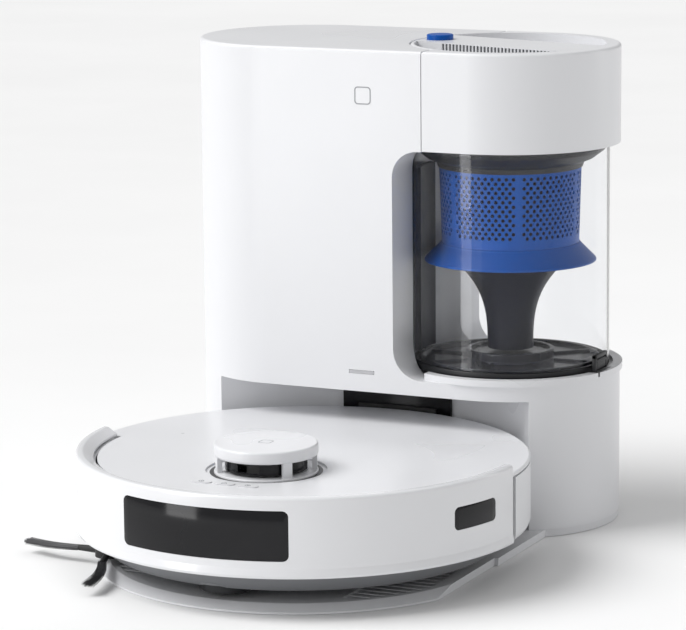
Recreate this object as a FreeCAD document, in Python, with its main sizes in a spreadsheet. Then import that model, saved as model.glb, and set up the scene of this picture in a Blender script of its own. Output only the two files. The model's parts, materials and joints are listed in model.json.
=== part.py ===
import FreeCAD, Part
import math
import os
import re

import Sketcher
from FreeCAD import Placement, Rotation, Vector

# A round robot vacuum parked in its bagless emptying station. The origin is on the floor, under
# the centre of the parked robot. +Z is up, +Y runs from the robot into the station.

doc = FreeCAD.newDocument("RobotVacuumStation")

SIZES = [
    # station tower: a long oval in plan
    ("plate_top", 6, "top of the base plate, where the robot's wheels stand"),
    ("tower_half", 88.5, "half the distance between the two end arcs"),
    ("tower_end", 87.5, "radius of the end arcs"),
    ("tower_mid", 203, "how far the tower's long axis lies behind the robot's centre"),
    ("tower_top", 380.5, "height of the tower"),
    ("tower_edge", 2.5, "rounding of the tower's top edge"),
    ("shell_wall", 3, "wall of the moulded casings"),
    ("recess_radius", 186, "curved back wall of the robot's bay"),
    ("recess_half", 144, "half the width of the bay"),
    ("recess_top", 109, "height of the bay's arch"),
    ("recess_corner", 13, "rounding of the arch's corners"),
    ("opening_left", 24.5, "left wall of the open bay around the canister"),
    ("opening_low", 121, "floor of the canister's bay"),
    ("opening_high", 302.3, "top of the canister's bay"),
    ("opening_corner_low", 24, "lower left corner of the canister's bay"),
    ("opening_corner_high", 21, "upper left corner of the canister's bay"),
    # base plate
    ("plate_radius", 157, "front arc of the base plate"),
    ("plate_half", 142, "half the width of the plate under the robot"),
    ("tread_pitch", 9, "spacing of the anti-slip ribs"),
    # canister
    ("head_radius", 79.3, "round left part of the canister's head"),
    ("head_split", 50, "seam between the head and the tower's front"),
    ("head_low", 302.8, "underside of the canister's head"),
    ("head_fit", 0.7, "gap round the canister in the tower"),
    ("pocket_radius", 76, "round recess in the head's top"),
    ("pocket_floor", 364, "floor of that recess"),
    ("bin_radius", 79, "clear bin, outside"),
    ("bin_skin", 2.5, "wall of the clear bin"),
    ("bin_low", 130, "lower edge of the clear bin"),
    ("flap_radius", 72, "hinged floor of the bin"),
    ("flap_top", 131, "upper face of the bin's floor"),
    ("flange_low", 124, "underside of the bin's bottom flange"),
    ("mesh_radius", 56.5, "perforated screen at its top"),
    ("mesh_high", 283, "top of the perforated screen"),
    ("mesh_low", 223, "bottom of the perforated screen"),
    ("skirt_radius", 68.6, "lower rim of the skirt under the screen"),
    ("skirt_low", 208, "height of that rim"),
    ("horn_neck", 18.3, "narrow end of the cyclone's tube"),
    ("button_radius", 10.7, "release button on the handle"),
    # robot
    ("robot_radius", 175, "outside of the bumper"),
    ("cover_radius", 174, "rear edge of the cover"),
    ("cover_front", 155.8, "front edge of the cover"),
    ("cover_top", 83.5, "top of the cover at its edge"),
    ("cover_low", 80.5, "underside of the cover"),
    ("bumper_low", 31, "lower edge of the bumper"),
    ("bumper_top", 91, "raised rim of the bumper"),
    ("split_gap", 4, "half the groove between bumper and rear shell"),
    ("pan_low", 16, "underside of the chassis pan"),
    ("pan_radius", 168.5, "outside of the chassis wall"),
    ("wheel_radius", 33, "drive wheel"),
    ("wheel_track", 107, "drive wheel's middle plane from the centre"),
    ("wheel_width", 22, "drive wheel"),
    ("turret_y", -61.4, "turret's axis"),
    ("turret_radius", 39.1, "cap of the turret"),
    ("turret_top", 105.4, "top of the turret"),
    ("brush_y", 30, "main brush's axis"),
    ("brush_z", 26.5, "height of the main brush's axis"),
    ("brush_radius", 19.3, "tips of the main brush's blades"),
    ("side_x", -126, "side brush's axis"),
    ("side_y", -78, "side brush's axis"),
    ("side_reach", 85, "side brush's bristle tips from its axis"),
    ("caster_y", -128, "caster's swivel axis"),
    ("caster_radius", 13, "caster's wheel"),
    ("ground_gap", 0.3, "running gap between the wheels and the plate"),
]

sheet = doc.addObject("Spreadsheet::Sheet", "Sizes")
for row, (alias, value, note) in enumerate(SIZES, start=1):
    sheet.set(f"A{row}", alias)
    sheet.set(f"B{row}", str(value))
    sheet.set(f"C{row}", note)
    sheet.setAlias(f"B{row}", alias)
doc.recompute()

ALIASES = {alias for alias, _, _ in SIZES}
VALUES = {alias: float(value) for alias, value, _ in SIZES}
NODES = []


# ---------- helpers ----------

def expression(size):
    """A size as an expression on the sheet: its words are cell aliases."""
    text = re.sub(r"[a-z_]+", lambda word: "Sizes." + word[0] if word[0] in ALIASES else word[0], str(size))
    return text


def number(size):
    """The same size as a plain number."""
    text = re.sub(r"[a-z_]+", lambda word: str(VALUES[word[0]]) if word[0] in ALIASES else word[0], str(size))
    total = doc.getObject("Sizes").evalExpression(text)
    return float(getattr(total, "Value", total))


def bind(thing, prop, size):
    thing.setExpression(prop, expression(size))


def put(thing, x=0, y=0, z=0, turn=None):
    """Place an object; its base point follows the sheet."""
    if turn:
        axis, angle = turn
        thing.Placement = Placement(Vector(), Rotation(Vector(*axis), angle))
    for prop, size in (("Placement.Base.x", x), ("Placement.Base.y", y), ("Placement.Base.z", z)):
        bind(thing, prop, size)
    return thing


def box(name, x, y, z):
    """A box from (low, high) sizes along each axis."""
    block = doc.addObject("Part::Box", name)
    for prop, (low, high) in (("Length", x), ("Width", y), ("Height", z)):
        bind(block, prop, f"({high}) - ({low})")
    return put(block, x[0], y[0], z[0])


def drum(name, radius, z, x=0, y=0):
    """An upright cylinder."""
    solid = doc.addObject("Part::Cylinder", name)
    bind(solid, "Radius", radius)
    bind(solid, "Height", f"({z[1]}) - ({z[0]})")
    return put(solid, x, y, z[0])


def rod(name, radius, axis, span, a, b):
    """A cylinder along X (a, b are y, z) or along Y (a, b are x, z)."""
    solid = doc.addObject("Part::Cylinder", name)
    bind(solid, "Radius", radius)
    bind(solid, "Height", f"({span[1]}) - ({span[0]})")
    if axis == "X":
        return put(solid, span[0], a, b, turn=((0, 1, 0), 90))
    return put(solid, a, span[0], b, turn=((1, 0, 0), -90))


def fuse(name, *solids):
    joined = doc.addObject("Part::MultiFuse", name)
    joined.Shapes = list(solids)
    joined.Refine = True
    return joined


def common(name, *solids):
    shared = doc.addObject("Part::MultiCommon", name)
    shared.Shapes = list(solids)
    shared.Refine = True
    return shared


def cut(name, base, *tools):
    """base less every tool; each tool has to remove something."""
    for count, tool in enumerate(tools, start=1):
        less = doc.addObject("Part::Cut", f"{name}_less{count}")
        less.Base = base
        less.Tool = tool
        less.Refine = True
        base = less
    return base


def rounded(name, base, radius, wanted):
    """Fillet the edges of base that wanted(edge) picks."""
    doc.recompute()
    soft = doc.addObject("Part::Fillet", name)
    soft.Base = base
    size = number(radius)
    soft.Edges = [(i, size, size) for i, edge in enumerate(base.Shape.Edges, start=1) if wanted(edge)]
    return soft


def level_at(height):
    """Picks the edges that lie at one height."""
    top = number(height)
    return lambda edge: all(abs(p.z - top) < 0.01
                            for p in (edge.CenterOfGravity, *[v.Point for v in edge.Vertexes]))


def along(axis, keep=lambda edge: True):
    """Picks straight edges along one axis."""
    index = "XYZ".index(axis)

    def wanted(edge):
        if edge.Curve.TypeId != "Part::GeomLine" or not keep(edge):
            return False
        return abs(abs(edge.Curve.Direction[index]) - 1) < 1e-6
    return wanted


def sketched(body, name, points):
    """A closed outline on the body's XZ plane, whose corners follow the sheet."""
    sketch = body.newObject("Sketcher::SketchObject", name)
    plane = next(f for f in body.Origin.OriginFeatures if f.Role == "XZ_Plane")
    sketch.AttachmentSupport = [(plane, "")]
    sketch.MapMode = "FlatFace"
    values = [Vector(number(u), number(v), 0) for u, v in points]
    last = len(points) - 1
    for i, start in enumerate(values):
        sketch.addGeometry(Part.LineSegment(start, values[0 if i == last else i + 1]), False)
    for i in range(len(points)):
        sketch.addConstraint(Sketcher.Constraint("Coincident", i, 2, 0 if i == last else i + 1, 1))
    for i, (u, v) in enumerate(points):
        for kind, size, value in (("DistanceX", u, values[i].x), ("DistanceY", v, values[i].y)):
            index = sketch.addConstraint(Sketcher.Constraint(kind, -1, 1, i, 1, value))
            sketch.renameConstraint(index, f"{kind.lower()}_{i}")
            bind(sketch, f"Constraints.{kind.lower()}_{i}", size)
    return sketch


def lathe(name, points, x=0, y=0):
    """A turned solid: (radius, height) corners spun about an upright axis."""
    body = doc.addObject("PartDesign::Body", name)
    sketch = sketched(body, name + "_profile", points)
    spin = body.newObject("PartDesign::Revolution", name + "_turned")
    spin.Profile = sketch
    spin.ReferenceAxis = (sketch, ["V_Axis"])
    spin.Angle = 360
    body.Tip = spin
    return put(body, x, y)


def spun(name, edges, x, y):
    """A turned shell whose outline has curves: edges lie in the XZ plane."""
    wire = Part.Wire(Part.__sortEdges__(edges))
    solid = Part.Face(wire).revolve(Vector(0, 0, 0), Vector(0, 0, 1), 360)
    feature = doc.addObject("Part::Feature", name)
    feature.Shape = solid
    return put(feature, x, y)


def flat_curve(points):
    """A smooth edge through (radius, height) points."""
    curve = Part.BSplineCurve()
    curve.interpolate([Vector(r, 0, z) for r, z in points])
    return curve.toShape()


def shell_of_curve(name, outer, skin, x, y):
    """A turned wall: the outer curve, and the same curve one skin further in."""
    inner = [(radius - skin, height) for radius, height in outer]
    ends = [Part.makeLine(Vector(outer[i][0], 0, outer[i][1]), Vector(inner[i][0], 0, inner[i][1]))
            for i in (0, -1)]
    return spun(name, [flat_curve(outer), flat_curve(inner), *ends], x, y)


def patch(name, outer, inner, block):
    """The part of an upright ring about the robot's axis that lies inside a block."""
    ring = cut(name + "_ring", drum(name + "_out", outer, (0, 120)), drum(name + "_in", inner, (-1, 121)))
    return common(name, ring, block)


def node(name, thing):
    """Name a finished sub-part; its label is its file's name."""
    thing.Label = name
    NODES.append(thing)
    return thing


def oval(name, inset, z):
    """The tower's outline in plan, drawn in by inset."""
    radius = f"tower_end - ({inset})"
    left = drum(name + "_left", radius, z, "-tower_half", "tower_mid")
    right = drum(name + "_right", radius, z, "tower_half", "tower_mid")
    depth = (f"tower_mid - tower_end + ({inset})", f"tower_mid + tower_end - ({inset})")
    return fuse(name, left, right, box(name + "_middle", ("-tower_half", "tower_half"), depth, z))


# ---------- station ----------

def make_base_plate():
    rim = [(0, 0), ("plate_radius", 0), ("plate_radius", 1.5), ("plate_radius - 9", "plate_top"),
           (0, "plate_top")]
    disc = common("plate_front", lathe("plate_disc", rim),
                  box("plate_strip", ("-plate_half", "plate_half"), (-200, 60), (-1, 10)))
    neck = box("plate_neck", ("-plate_half - 3", "plate_half + 3"), (40, 150), (0, "plate_top"))
    whole = fuse("plate_whole", disc, neck, oval("plate_rear", 0.8, (0, "plate_top")))
    pads = [drum(f"foot_hole_{i}", 9, (-1, 1.5), x, y) for i, (x, y) in enumerate(FEET)]
    treads = [tread_block(f"tread_hole_{side}", side, 0.15, (4, 8)) for side in (-1, 1)]
    node("base_plate", cut("base_plate", whole, fuse("foot_holes", *pads), fuse("tread_holes", *treads)))
    feet = [drum(f"foot_{i}", 8.9, (0, 1.5), x, y) for i, (x, y) in enumerate(FEET)]
    node("station_feet", fuse("station_feet", *feet))


FEET = [(-90, -95), (90, -95), (-135, 60), (135, 60), (-150, 225), (150, 225), (0, 270)]


def tread_block(name, side, grow, z):
    """Pad under one wheel's track, kept inside the plate's round front edge."""
    near, far = 84 - grow, 131 + grow
    x = (near, far) if side > 0 else (-far, -near)
    return common(name, box(name + "_box", x, (-108 - grow, 12 + grow), z),
                  drum(name + "_edge", f"plate_radius - 14 + {grow}", (0, 10)))


def make_treads():
    pads = []
    for side in (-1, 1):
        pad = tread_block(f"tread_{side}", side, 0, (4, "plate_top"))
        grooves = []
        for i in range(13):
            low = -103.5 + VALUES["tread_pitch"] * i
            grooves.append(box(f"groove_{side}_{i}", (-140, 140), (f"{low}", f"{low} + tread_pitch - 3.2"),
                               (5.1, 7)))
        pads.append(cut(f"tread_cut_{side}", pad, fuse(f"grooves_{side}", *grooves)))
    node("tread_strips", fuse("tread_strips", *pads))


def canister_outline(name, grow, z):
    """Plan of the canister's head: round on the left, the tower's own end on the right."""
    right = common(name + "_right", oval(name + "_oval", f"0 - {grow}", z),
                   box(name + "_side", (f"head_split - {grow}", 200), (100, 300), z))
    return fuse(name, drum(name + "_round", f"head_radius + {grow}", z, "tower_half", "tower_mid"), right)


def make_tower():
    block = rounded("tower_soft", oval("tower_block", 0, ("plate_top", "tower_top")), "tower_edge",
                    level_at("tower_top"))
    bay_box = rounded("bay_soft", box("bay_box", ("-recess_half", "recess_half"), (50, 250),
                                      (-20, "recess_top")),
                      "recess_corner", along("Y", lambda e: e.CenterOfGravity.z > 50))
    bay = common("robot_bay", bay_box, drum("bay_round", "recess_radius", (0, 120)))
    opening = box("bin_bay", ("opening_left", 200), (90, 320), ("opening_low", "opening_high"))
    opening = rounded("bin_bay_low", opening, "opening_corner_low",
                      along("Y", lambda e: e.CenterOfGravity.x < 60 and e.CenterOfGravity.z < 200))
    opening = rounded("bin_bay_high", opening, "opening_corner_high",
                      along("Y", lambda e: e.CenterOfGravity.x < 60 and e.CenterOfGravity.z > 260))
    niche = drum("bin_niche", "head_radius + head_fit", ("opening_low", 400), "tower_half", "tower_mid")
    head_hole = canister_outline("head_hole", "head_fit", ("opening_high - 0.1", 400))
    upper = cut("hollow_upper", common("hollow_upper_box",
                                       oval("inner_oval", "shell_wall", (112, "tower_top - shell_wall")),
                                       box("hollow_left", (-180, 12), (100, 300), (100, 400))),
                drum("niche_wall", "head_radius + head_fit + shell_wall + 1", (100, 400), "tower_half",
                     "tower_mid"))
    bay_wall = common("bay_wall", drum("bay_wall_round", "recess_radius + shell_wall", (0, 112)),
                      box("bay_wall_box", ("-recess_half - shell_wall", "recess_half + shell_wall"),
                          (50, 250), (0, 112)))
    lower = cut("hollow_lower", oval("lower_oval", "shell_wall", (9, 117)), bay_wall)
    back_hole = box("back_hole", (-84, 8), (280, 300), (14, 368))
    port = box("port_hole", (-28, 28), (170, 195), (58, 80))
    light = box("light_slot", (-13.9, 8.2), (100, 118), (123.2, 126.1))
    shell = cut("tower_shell", block, bay, opening, niche, head_hole, upper, lower, back_hole, port, light)
    posts = [rod(f"post_{i}", 5, "Y", (266, 287.3), x, z) for i, (x, z) in enumerate(SCREWS)]
    for i, (x, z) in enumerate(SCREWS):
        web = (x - 10, x - 4.3) if x < 0 else (x + 4.3, x + 10)
        posts.append(box(f"post_web_{i}", web, (266, 288.5), (z - 3.5, z + 3.5)))
    bores = [rod(f"post_bore_{i}", 1.55, "Y", (270, 300), x, z) for i, (x, z) in enumerate(SCREWS)]
    node("tower_housing", cut("tower_housing", fuse("tower_posts", shell, *posts),
                              fuse("post_bores", *bores)))


SCREWS = [(x, z) for x in (-80, 4) for z in (18.5, 191, 363.5)]


def make_rear_cover():
    panel = box("rear_panel", (-83.7, 7.7), (287.5, 290.5), (14.3, 367.7))
    slots = [box(f"vent_{i}", (-70, -10), (280, 300), (150 + 9 * i, 154.5 + 9 * i)) for i in range(10)]
    heads = [rod(f"head_bore_{i}", 3.3, "Y", (288.6, 300), x, z) for i, (x, z) in enumerate(SCREWS)]
    shanks = [rod(f"shank_bore_{i}", 1.6, "Y", (280, 300), x, z) for i, (x, z) in enumerate(SCREWS)]
    socket = box("inlet_hole", (-60.2, -35.8), (280, 300), (29.8, 46.2))
    node("rear_cover", cut("rear_cover", panel, fuse("vents", *slots, *heads, *shanks, socket)))
    screws = []
    for i, (x, z) in enumerate(SCREWS):
        screws.append(rod(f"screw_head_{i}", 3.1, "Y", (288.6, 290.3), x, z))
        screws.append(rod(f"screw_shank_{i}", 1.5, "Y", (274, 288.6), x, z))
    node("station_screws", fuse("station_screws", *screws))
    inlet = box("inlet_block", (-60, -36), (266, 290), (30, 46))
    mouth = rounded("inlet_mouth", box("inlet_mouth_box", (-56.5, -39.5), (272, 300), (33.5, 42.5)), 3,
                    along("Y"))
    pins = [rod(f"inlet_pin_{i}", 1.2, "Y", (271, 286), x, 38) for i, x in enumerate((-52, -44))]
    node("power_inlet", fuse("power_inlet", cut("inlet_open", inlet, mouth), *pins))


def make_dock():
    panel = patch("dock_plate", "recess_radius", "recess_radius - 3.5",
                  box("dock_block", (-47.3, 47.3), (100, 200), (8, "recess_top - 0.3")))
    hole = box("dock_port", (-28, 28), (170, 195), (58, 80))
    bores = [rod(f"pin_bore_{i}", 3.2, "Y", (170, 190), x, 40) for i, x in enumerate((-28, 28))]
    node("dock_panel", cut("dock_panel", panel, fuse("dock_holes", hole, *bores)))
    pins = [rod(f"charge_pin_{i}", 3, "Y", (176.6, 183), x, 40) for i, x in enumerate((-28, 28))]
    node("charge_pins", fuse("charge_pins", *pins))
    frame = patch("seal_frame", "recess_radius - 3.6", "recess_radius - 6.4",
                  box("seal_block", (-34, 34), (100, 200), (53, 85)))
    node("port_seal", cut("port_seal", frame, box("seal_hole", (-28, 28), (100, 200), (58, 80))))
    node("status_light", rounded("status_light",
                                 box("light_bar", (-13.7, 8), (115.4, 117.8), (123.4, 125.9)), 1.2,
                                 along("Y")))


def make_station_insides():
    duct = fuse("duct_outer", box("duct_low", (-31, 31), (190, 230), (55, 83)),
                box("duct_high", (-31, 2), (206, 246), (55, 272)))
    bore = fuse("duct_inner", box("duct_low_bore", (-28, 28), (185, 228), (58, 80)),
                box("duct_high_bore", (-28, -1), (209, 243), (58, 269)),
                box("duct_exit", (-10, 6), (212, 240), (238, 266)))
    node("dust_duct", cut("dust_duct", duct, bore))
    case = drum("motor_case", 40, (130, 200), -88, 203)
    flange = drum("motor_flange", 52, (118, 130), -88, 203)
    motor = fuse("motor_body", case, flange)
    node("suction_motor", cut("suction_motor", motor, drum("motor_bore", 4.06, (188, 210), -88, 203)))
    hub = [drum("fan_disc", 46, (206, 208.5), -88, 203), drum("fan_hub", 11, (206, 228), -88, 203),
           drum("fan_shaft", 4, (190, 207), -88, 203)]
    node("suction_impeller", fuse("suction_impeller", *hub, *blades("fan", 9, 9, 45, (208, 222), -88, 203)))


def blades(name, count, inner, outer, z, x, y):
    """Radial vanes on a fan."""
    vanes = []
    for i in range(count):
        vane = doc.addObject("Part::Box", f"{name}_vane_{i}")
        bind(vane, "Length", f"{outer} - {inner}")
        bind(vane, "Width", 1.6)
        bind(vane, "Height", f"({z[1]}) - ({z[0]})")
        spot = Placement(Vector(number(x), number(y), number(z[0])),
                         Rotation(Vector(0, 0, 1), 360 / count * i))
        vane.Placement = spot.multiply(Placement(Vector(inner, -0.8, 0), Rotation()))
        vanes.append(vane)
    return vanes


# ---------- canister ----------

def make_head():
    block = rounded("head_soft", canister_outline("head_block", 0, ("head_low", "tower_top")), "tower_edge",
                    level_at("tower_top"))
    pocket = drum("head_pocket", "pocket_radius", ("pocket_floor", 400), "tower_half", "tower_mid")
    chamber = drum("head_chamber", 64, (300, 352), "tower_half", "tower_mid")
    node("canister_head", cut("canister_head", block, pocket, chamber))
    bar = common("handle_ends", across("handle_bar", (-30, 22), (372, "tower_top")),
                 drum("handle_round", "pocket_radius - 0.1", (360, 400), "tower_half", "tower_mid"))
    bore = drum("button_bore", "button_radius + 0.3", (300, 400), *BUTTON)
    bar = cut("handle_bored", bar, bore)
    legs = common("handle_leg_ends", across("handle_legs", (-24, 20), ("pocket_floor", 372)),
                  drum("leg_round", "pocket_radius - 0.1", (360, 400), "tower_half", "tower_mid"))
    legs = cut("handle_leg_pair", legs, across("finger_way", (-40, 40), (360, 372), (-40, 50)),
               drum("button_way", "button_radius + 0.3", (360, 380), *BUTTON))
    node("carry_handle", fuse("carry_handle", bar, legs))
    wall = common("grille_wall", across("grille_box", (-29.5, -26.5), ("pocket_floor + 0.1", 371.9)),
                  drum("grille_round", "pocket_radius - 0.3", (300, 400), "tower_half", "tower_mid"))
    slots = [across(f"grille_slot_{i}", (-32, -24), (365.5, 371), (low, low + 2.4))
             for i, low in enumerate(range(-44, 56, 4))]
    node("head_grille", cut("head_grille", wall, fuse("grille_slots", *slots)))
    button = drum("button_drum", "button_radius", (373.5, 386), *BUTTON)
    node("release_button", rounded("release_button", button, 1.2, level_at(386)))
    node("pleated_filter", lathe("pleated_filter", [(30, 306), (60, 306), (60, 345), (30, 345)],
                                 "tower_half", "tower_mid"))


def across(name, depth, z, length=(-90, 90)):
    """A block across the head, square to the handle: length runs along the handle, depth behind it."""
    block = doc.addObject("Part::Box", name)
    for prop, (low, high) in (("Length", length), ("Width", depth), ("Height", z)):
        bind(block, prop, f"({high}) - ({low})")
    middle = Placement(Vector(number("tower_half"), number("tower_mid"), 0),
                       Rotation(Vector(0, 0, 1), HANDLE_TURN))
    block.Placement = middle.multiply(Placement(Vector(length[0], depth[0], number(z[0])), Rotation()))
    return block


BUTTON = (26, 208)
HANDLE_TURN = -14


def make_bin():
    middle = ("tower_half", "tower_mid")
    node("bin_wall", lathe("bin_wall", [("bin_radius - bin_skin", "bin_low"), ("bin_radius", "bin_low"),
                                        ("bin_radius", "head_low"), ("bin_radius - bin_skin", "head_low")],
                                        *middle))
    radius, top = VALUES["bin_radius"] - VALUES["bin_skin"] - 0.2, VALUES["head_low"] - 0.1
    neck, high = VALUES["mesh_radius"], VALUES["mesh_high"]
    funnel = [(radius, top), (radius - 1.2, top - 5), (neck + 8, high + 6.5), (neck + 2.2, high + 3),
              (neck, high)]
    node("bin_collar", shell_of_curve("bin_collar", funnel, 2, *middle))
    foot = neck - 1.8
    node("mesh_filter", lathe("mesh_filter",
                              [(foot - 1.4, "mesh_low"), (foot, "mesh_low"), ("mesh_radius", "mesh_high"),
                                              ("mesh_radius - 1.4", "mesh_high")], *middle))
    low, rim = VALUES["mesh_low"], VALUES["skirt_radius"]
    skirt = [(foot, low), (foot + 3.2, low - 5), (foot + 8.2, low - 10), (rim, VALUES["skirt_low"])]
    node("mesh_skirt", shell_of_curve("mesh_skirt", skirt, 1.5, *middle))
    start, end, rise = 137.3, 206, 60.5
    horn = []
    for i in range(9):
        height = start + (end - start) * i / 8
        horn.append((VALUES["horn_neck"] + 17.1 * ((height - start) / rise) ** 3, height))
    node("cyclone_tube", shell_of_curve("cyclone_tube", horn, 1.5, *middle))
    spine = cut("spine_ring", drum("spine_out", "bin_radius - bin_skin - 0.2", (133, 281), *middle),
                drum("spine_in", "bin_radius - bin_skin - 5", (130, 290), *middle))
    node("bin_spine", common("bin_spine", spine, box("spine_side", (0, 30), (178, 215), (133, 281))))


LATCH_X = 169.7


def make_bin_floor():
    middle = ("tower_half", "tower_mid")
    hinge_x, hinge_z = "tower_half - 75.6", 127.2
    flap = lathe("flap_disc", [(0, 126), ("flap_radius", 126), ("flap_radius", "flap_top"),
                               (35.2, "flap_top"),
                               (35.2, 137), (30, 137), (30, "flap_top"), (0, "flap_top")], *middle)
    lug = fuse("flap_lug", rod("lug_round", 2.8, "Y", (196, 210), hinge_x, hinge_z),
               box("lug_arm", (hinge_x, "tower_half - flap_radius + 2"), (196, 210), (126, 130)))
    node("bin_floor", cut("bin_floor", fuse("flap_lugged", flap, lug),
                          rod("lug_bore", 1.55, "Y", (190, 216), hinge_x, hinge_z)))
    ring = lathe("flange_ring", [("flap_radius + 1.8", "flange_low"), ("bin_radius + 0.2", "flange_low"),
                                 ("bin_radius + 0.2", "bin_low"), ("flap_radius + 1.8", "bin_low")], *middle)
    notch = box("hinge_notch", ("tower_half - 85", "tower_half - 70"), (195.5, 210.5), (120, 140))
    pin = rod("hinge_pin", 1.5, "Y", (194, 212), hinge_x, hinge_z)
    hinge = (LATCH_X, 133.4)
    ears = [box(f"latch_ear_{i}", (160, LATCH_X + 1.6), y, ("flange_low", 139.5))
            for i, y in enumerate(((177.4, 179.6), (200.4, 202.6)))]
    hood = box("latch_hood", (160, LATCH_X + 1.6), (177.4, 202.6), (136.2, 139.5))
    ears = cut("latch_ears", fuse("ear_pair", *ears, hood),
               drum("ear_inner", "bin_radius + 0.1", (100, 150), *middle))
    ring = cut("flange_notched", ring, notch)
    latch_pin = rod("latch_pin", 1, "Y", (178, 202), *hinge)
    node("floor_seal", fuse("floor_seal", ring, pin, ears, latch_pin))
    lever = fuse("latch_lever", box("latch_plate", (LATCH_X - 1.7, LATCH_X + 1.6), (180, 200),
                                    (127.2, 135.4)),
                 rod("latch_barrel", 1.9, "Y", (180, 200), *hinge))
    node("bin_latch", cut("bin_latch", lever, rod("latch_bore", 1.06, "Y", (170, 210), *hinge)))
    rim = lathe("seat_rim", [(0, "opening_low"), (89.5, "opening_low"), (89.5, 126), (82, 126), (82, 122.6),
                             (0, 122.6)], *middle)
    rim = common("seat_right", rim, box("seat_side", (48, 200), (100, 300), (110, 130)))
    node("canister_seat", cut("canister_seat", rim,
                              box("seat_notch", (160, 174.5), (176, 204), (122.7, 140))))


# ---------- robot ----------

def half(name, solid, side):
    """Keep the front (-1) or rear (+1) half, clear of the groove between them."""
    y = (-300, "-split_gap") if side < 0 else ("split_gap", 300)
    return common(name, solid, box(name + "_half", (-300, 300), y, (-10, 300)))


def make_chassis():
    pan = lathe("pan", [(0, "pan_low"), (150, "pan_low"), ("pan_radius", 30), ("pan_radius", 72),
                        ("pan_radius - 3", 72),
                        ("pan_radius - 3", 31), (149, "pan_low + 3"), (0, "pan_low + 3")])
    cup = drum("caster_cup", 27, ("pan_low + 2", 44), 0, "caster_y")
    pan = fuse("pan_cup", pan, cup)
    wells = [box(f"well_{side}", (-134, -93) if side < 0 else (93, 134), (-42, 52), (0, 25))
             for side in (-1, 1)]
    bay = box("brush_bay", (-88.2, 88.2), (3.8, 56.2), (0, 25))
    cup_hole = drum("cup_hole", 24, (0, 41), 0, "caster_y")
    stem = drum("stem_hole", 4.06, (30, 50), 0, "caster_y")
    shaft = drum("side_shaft_hole", 3.08, (0, 60), "side_x", "side_y")
    node("chassis", cut("chassis", pan, *wells, bay, cup_hole, stem, shaft))


def make_rear_shell():
    shell = lathe("rear_ring", [("cover_radius - 5.3", "bumper_low + 3"),
                                ("cover_radius - 3.5", "bumper_low"),
                                ("cover_radius - 1.2", "bumper_low + 1"), ("cover_radius", "bumper_low + 4"),
                                ("cover_radius", "cover_low - 0.8"),
                                ("cover_radius - 5.3", "cover_low - 0.8")])
    pockets = fuse("contact_holes", *[box(f"contact_hole_{s}",
                                          (21.8 * s, 34.2 * s) if s > 0 else (-34.2, -21.8),
                                          (150, 200), (33.8, 46.2)) for s in (-1, 1)])
    node("rear_shell", cut("rear_shell", half("rear_half", shell, 1), pockets))
    plates = fuse("contact_boxes", *[box(f"contact_box_{s}", (22, 34) if s > 0 else (-34, -22),
                                         (150, 200), (34, 46)) for s in (-1, 1)])
    node("charge_contacts", patch("charge_contacts", "cover_radius - 0.4", "cover_radius - 4", plates))


def make_cover():
    dome = lathe("cover_dome", [(0, "cover_low"), ("cover_radius - 0.8", "cover_low"),
                                ("cover_radius", "cover_low + 1"),
                                ("cover_radius", "cover_top - 1.2"), ("cover_radius - 1.6", "cover_top"),
                                (120, "cover_top + 0.8"), (0, "cover_top + 1")])
    rear = box("cover_rear", (-200, 200), ("-split_gap + 2.8", 200), (70, 100))
    keep = fuse("cover_keep", rear, drum("cover_nose", "cover_front", (70, 100)))
    hole = drum("turret_hole", "turret_radius + 1.2", (70, 100), 0, "turret_y")
    ring = drum("collar_recess", 45.5, ("cover_top - 0.6", 100), 0, "turret_y")
    keys = fuse("key_holes", *[key_block(f"key_hole_{i}", x, 0.3, (70, 100)) for i, x in enumerate(KEYS)])
    node("top_cover", cut("top_cover", common("cover_outline", dome, keep), hole, ring, keys))
    for name, x in zip(("button_left", "button_centre", "button_right"), KEYS):
        node(name, key_block(name, x, 0, (80.9, 85)))


KEYS = (-26, -7, 12)
KEY_Y = -116.5


def key_block(name, x, grow, z):
    """A pill-shaped key, 16 mm by 7.4 mm."""
    width = 3.7 + grow
    parts = [drum(f"{name}_a", width, z, x - 4.3, KEY_Y), drum(f"{name}_b", width, z, x + 4.3, KEY_Y),
             box(f"{name}_c", (x - 4.3, x + 4.3), (KEY_Y - width, KEY_Y + width), z)]
    return fuse(name, *parts)


def make_bumper():
    skin = lathe("bumper_ring", [("robot_radius - 3", "bumper_low"), ("robot_radius + 0.6", "bumper_low"),
                                 ("robot_radius + 1.2", "bumper_low + 1.5"),
                                 ("robot_radius + 0.8", "bumper_low + 5"),
                                 ("robot_radius", "bumper_low + 7"), ("robot_radius", "bumper_top - 3.5"),
                                 ("robot_radius - 1.2", "bumper_top - 1"), ("robot_radius - 4", "bumper_top"),
                                 ("cover_front + 2.6", "cover_top + 2.4"),
                                 ("cover_front + 2.6", "cover_top + 0.2"),
                                 ("robot_radius - 5", "bumper_top - 3.2"),
                                 ("robot_radius - 3", "bumper_top - 6")])
    shell = half("bumper_front", skin, -1)
    glass = front_glass("window_hole", 0.1)
    sides = fuse("side_holes", side_glass("side_hole_right", 1, 0.1), side_glass("side_hole_left", -1, 0.1))
    node("bumper", cut("bumper", shell, glass, sides))
    node("front_window", patch("front_window", "robot_radius + 0.1", "robot_radius - 2.8",
                               front_glass("window_block", 0)))
    lights = fuse("side_blocks", side_glass("side_block_right", 1, 0), side_glass("side_block_left", -1, 0))
    node("side_windows", patch("side_windows", "robot_radius + 0.1", "robot_radius - 2.8", lights))


def front_glass(name, grow):
    half_width = 66.7 + grow
    plate = box(name + "_box", (-half_width, half_width), (-200, -100), (44 - grow, 81 + grow))
    return rounded(name, plate, 4.5, along("Y"))


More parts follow.
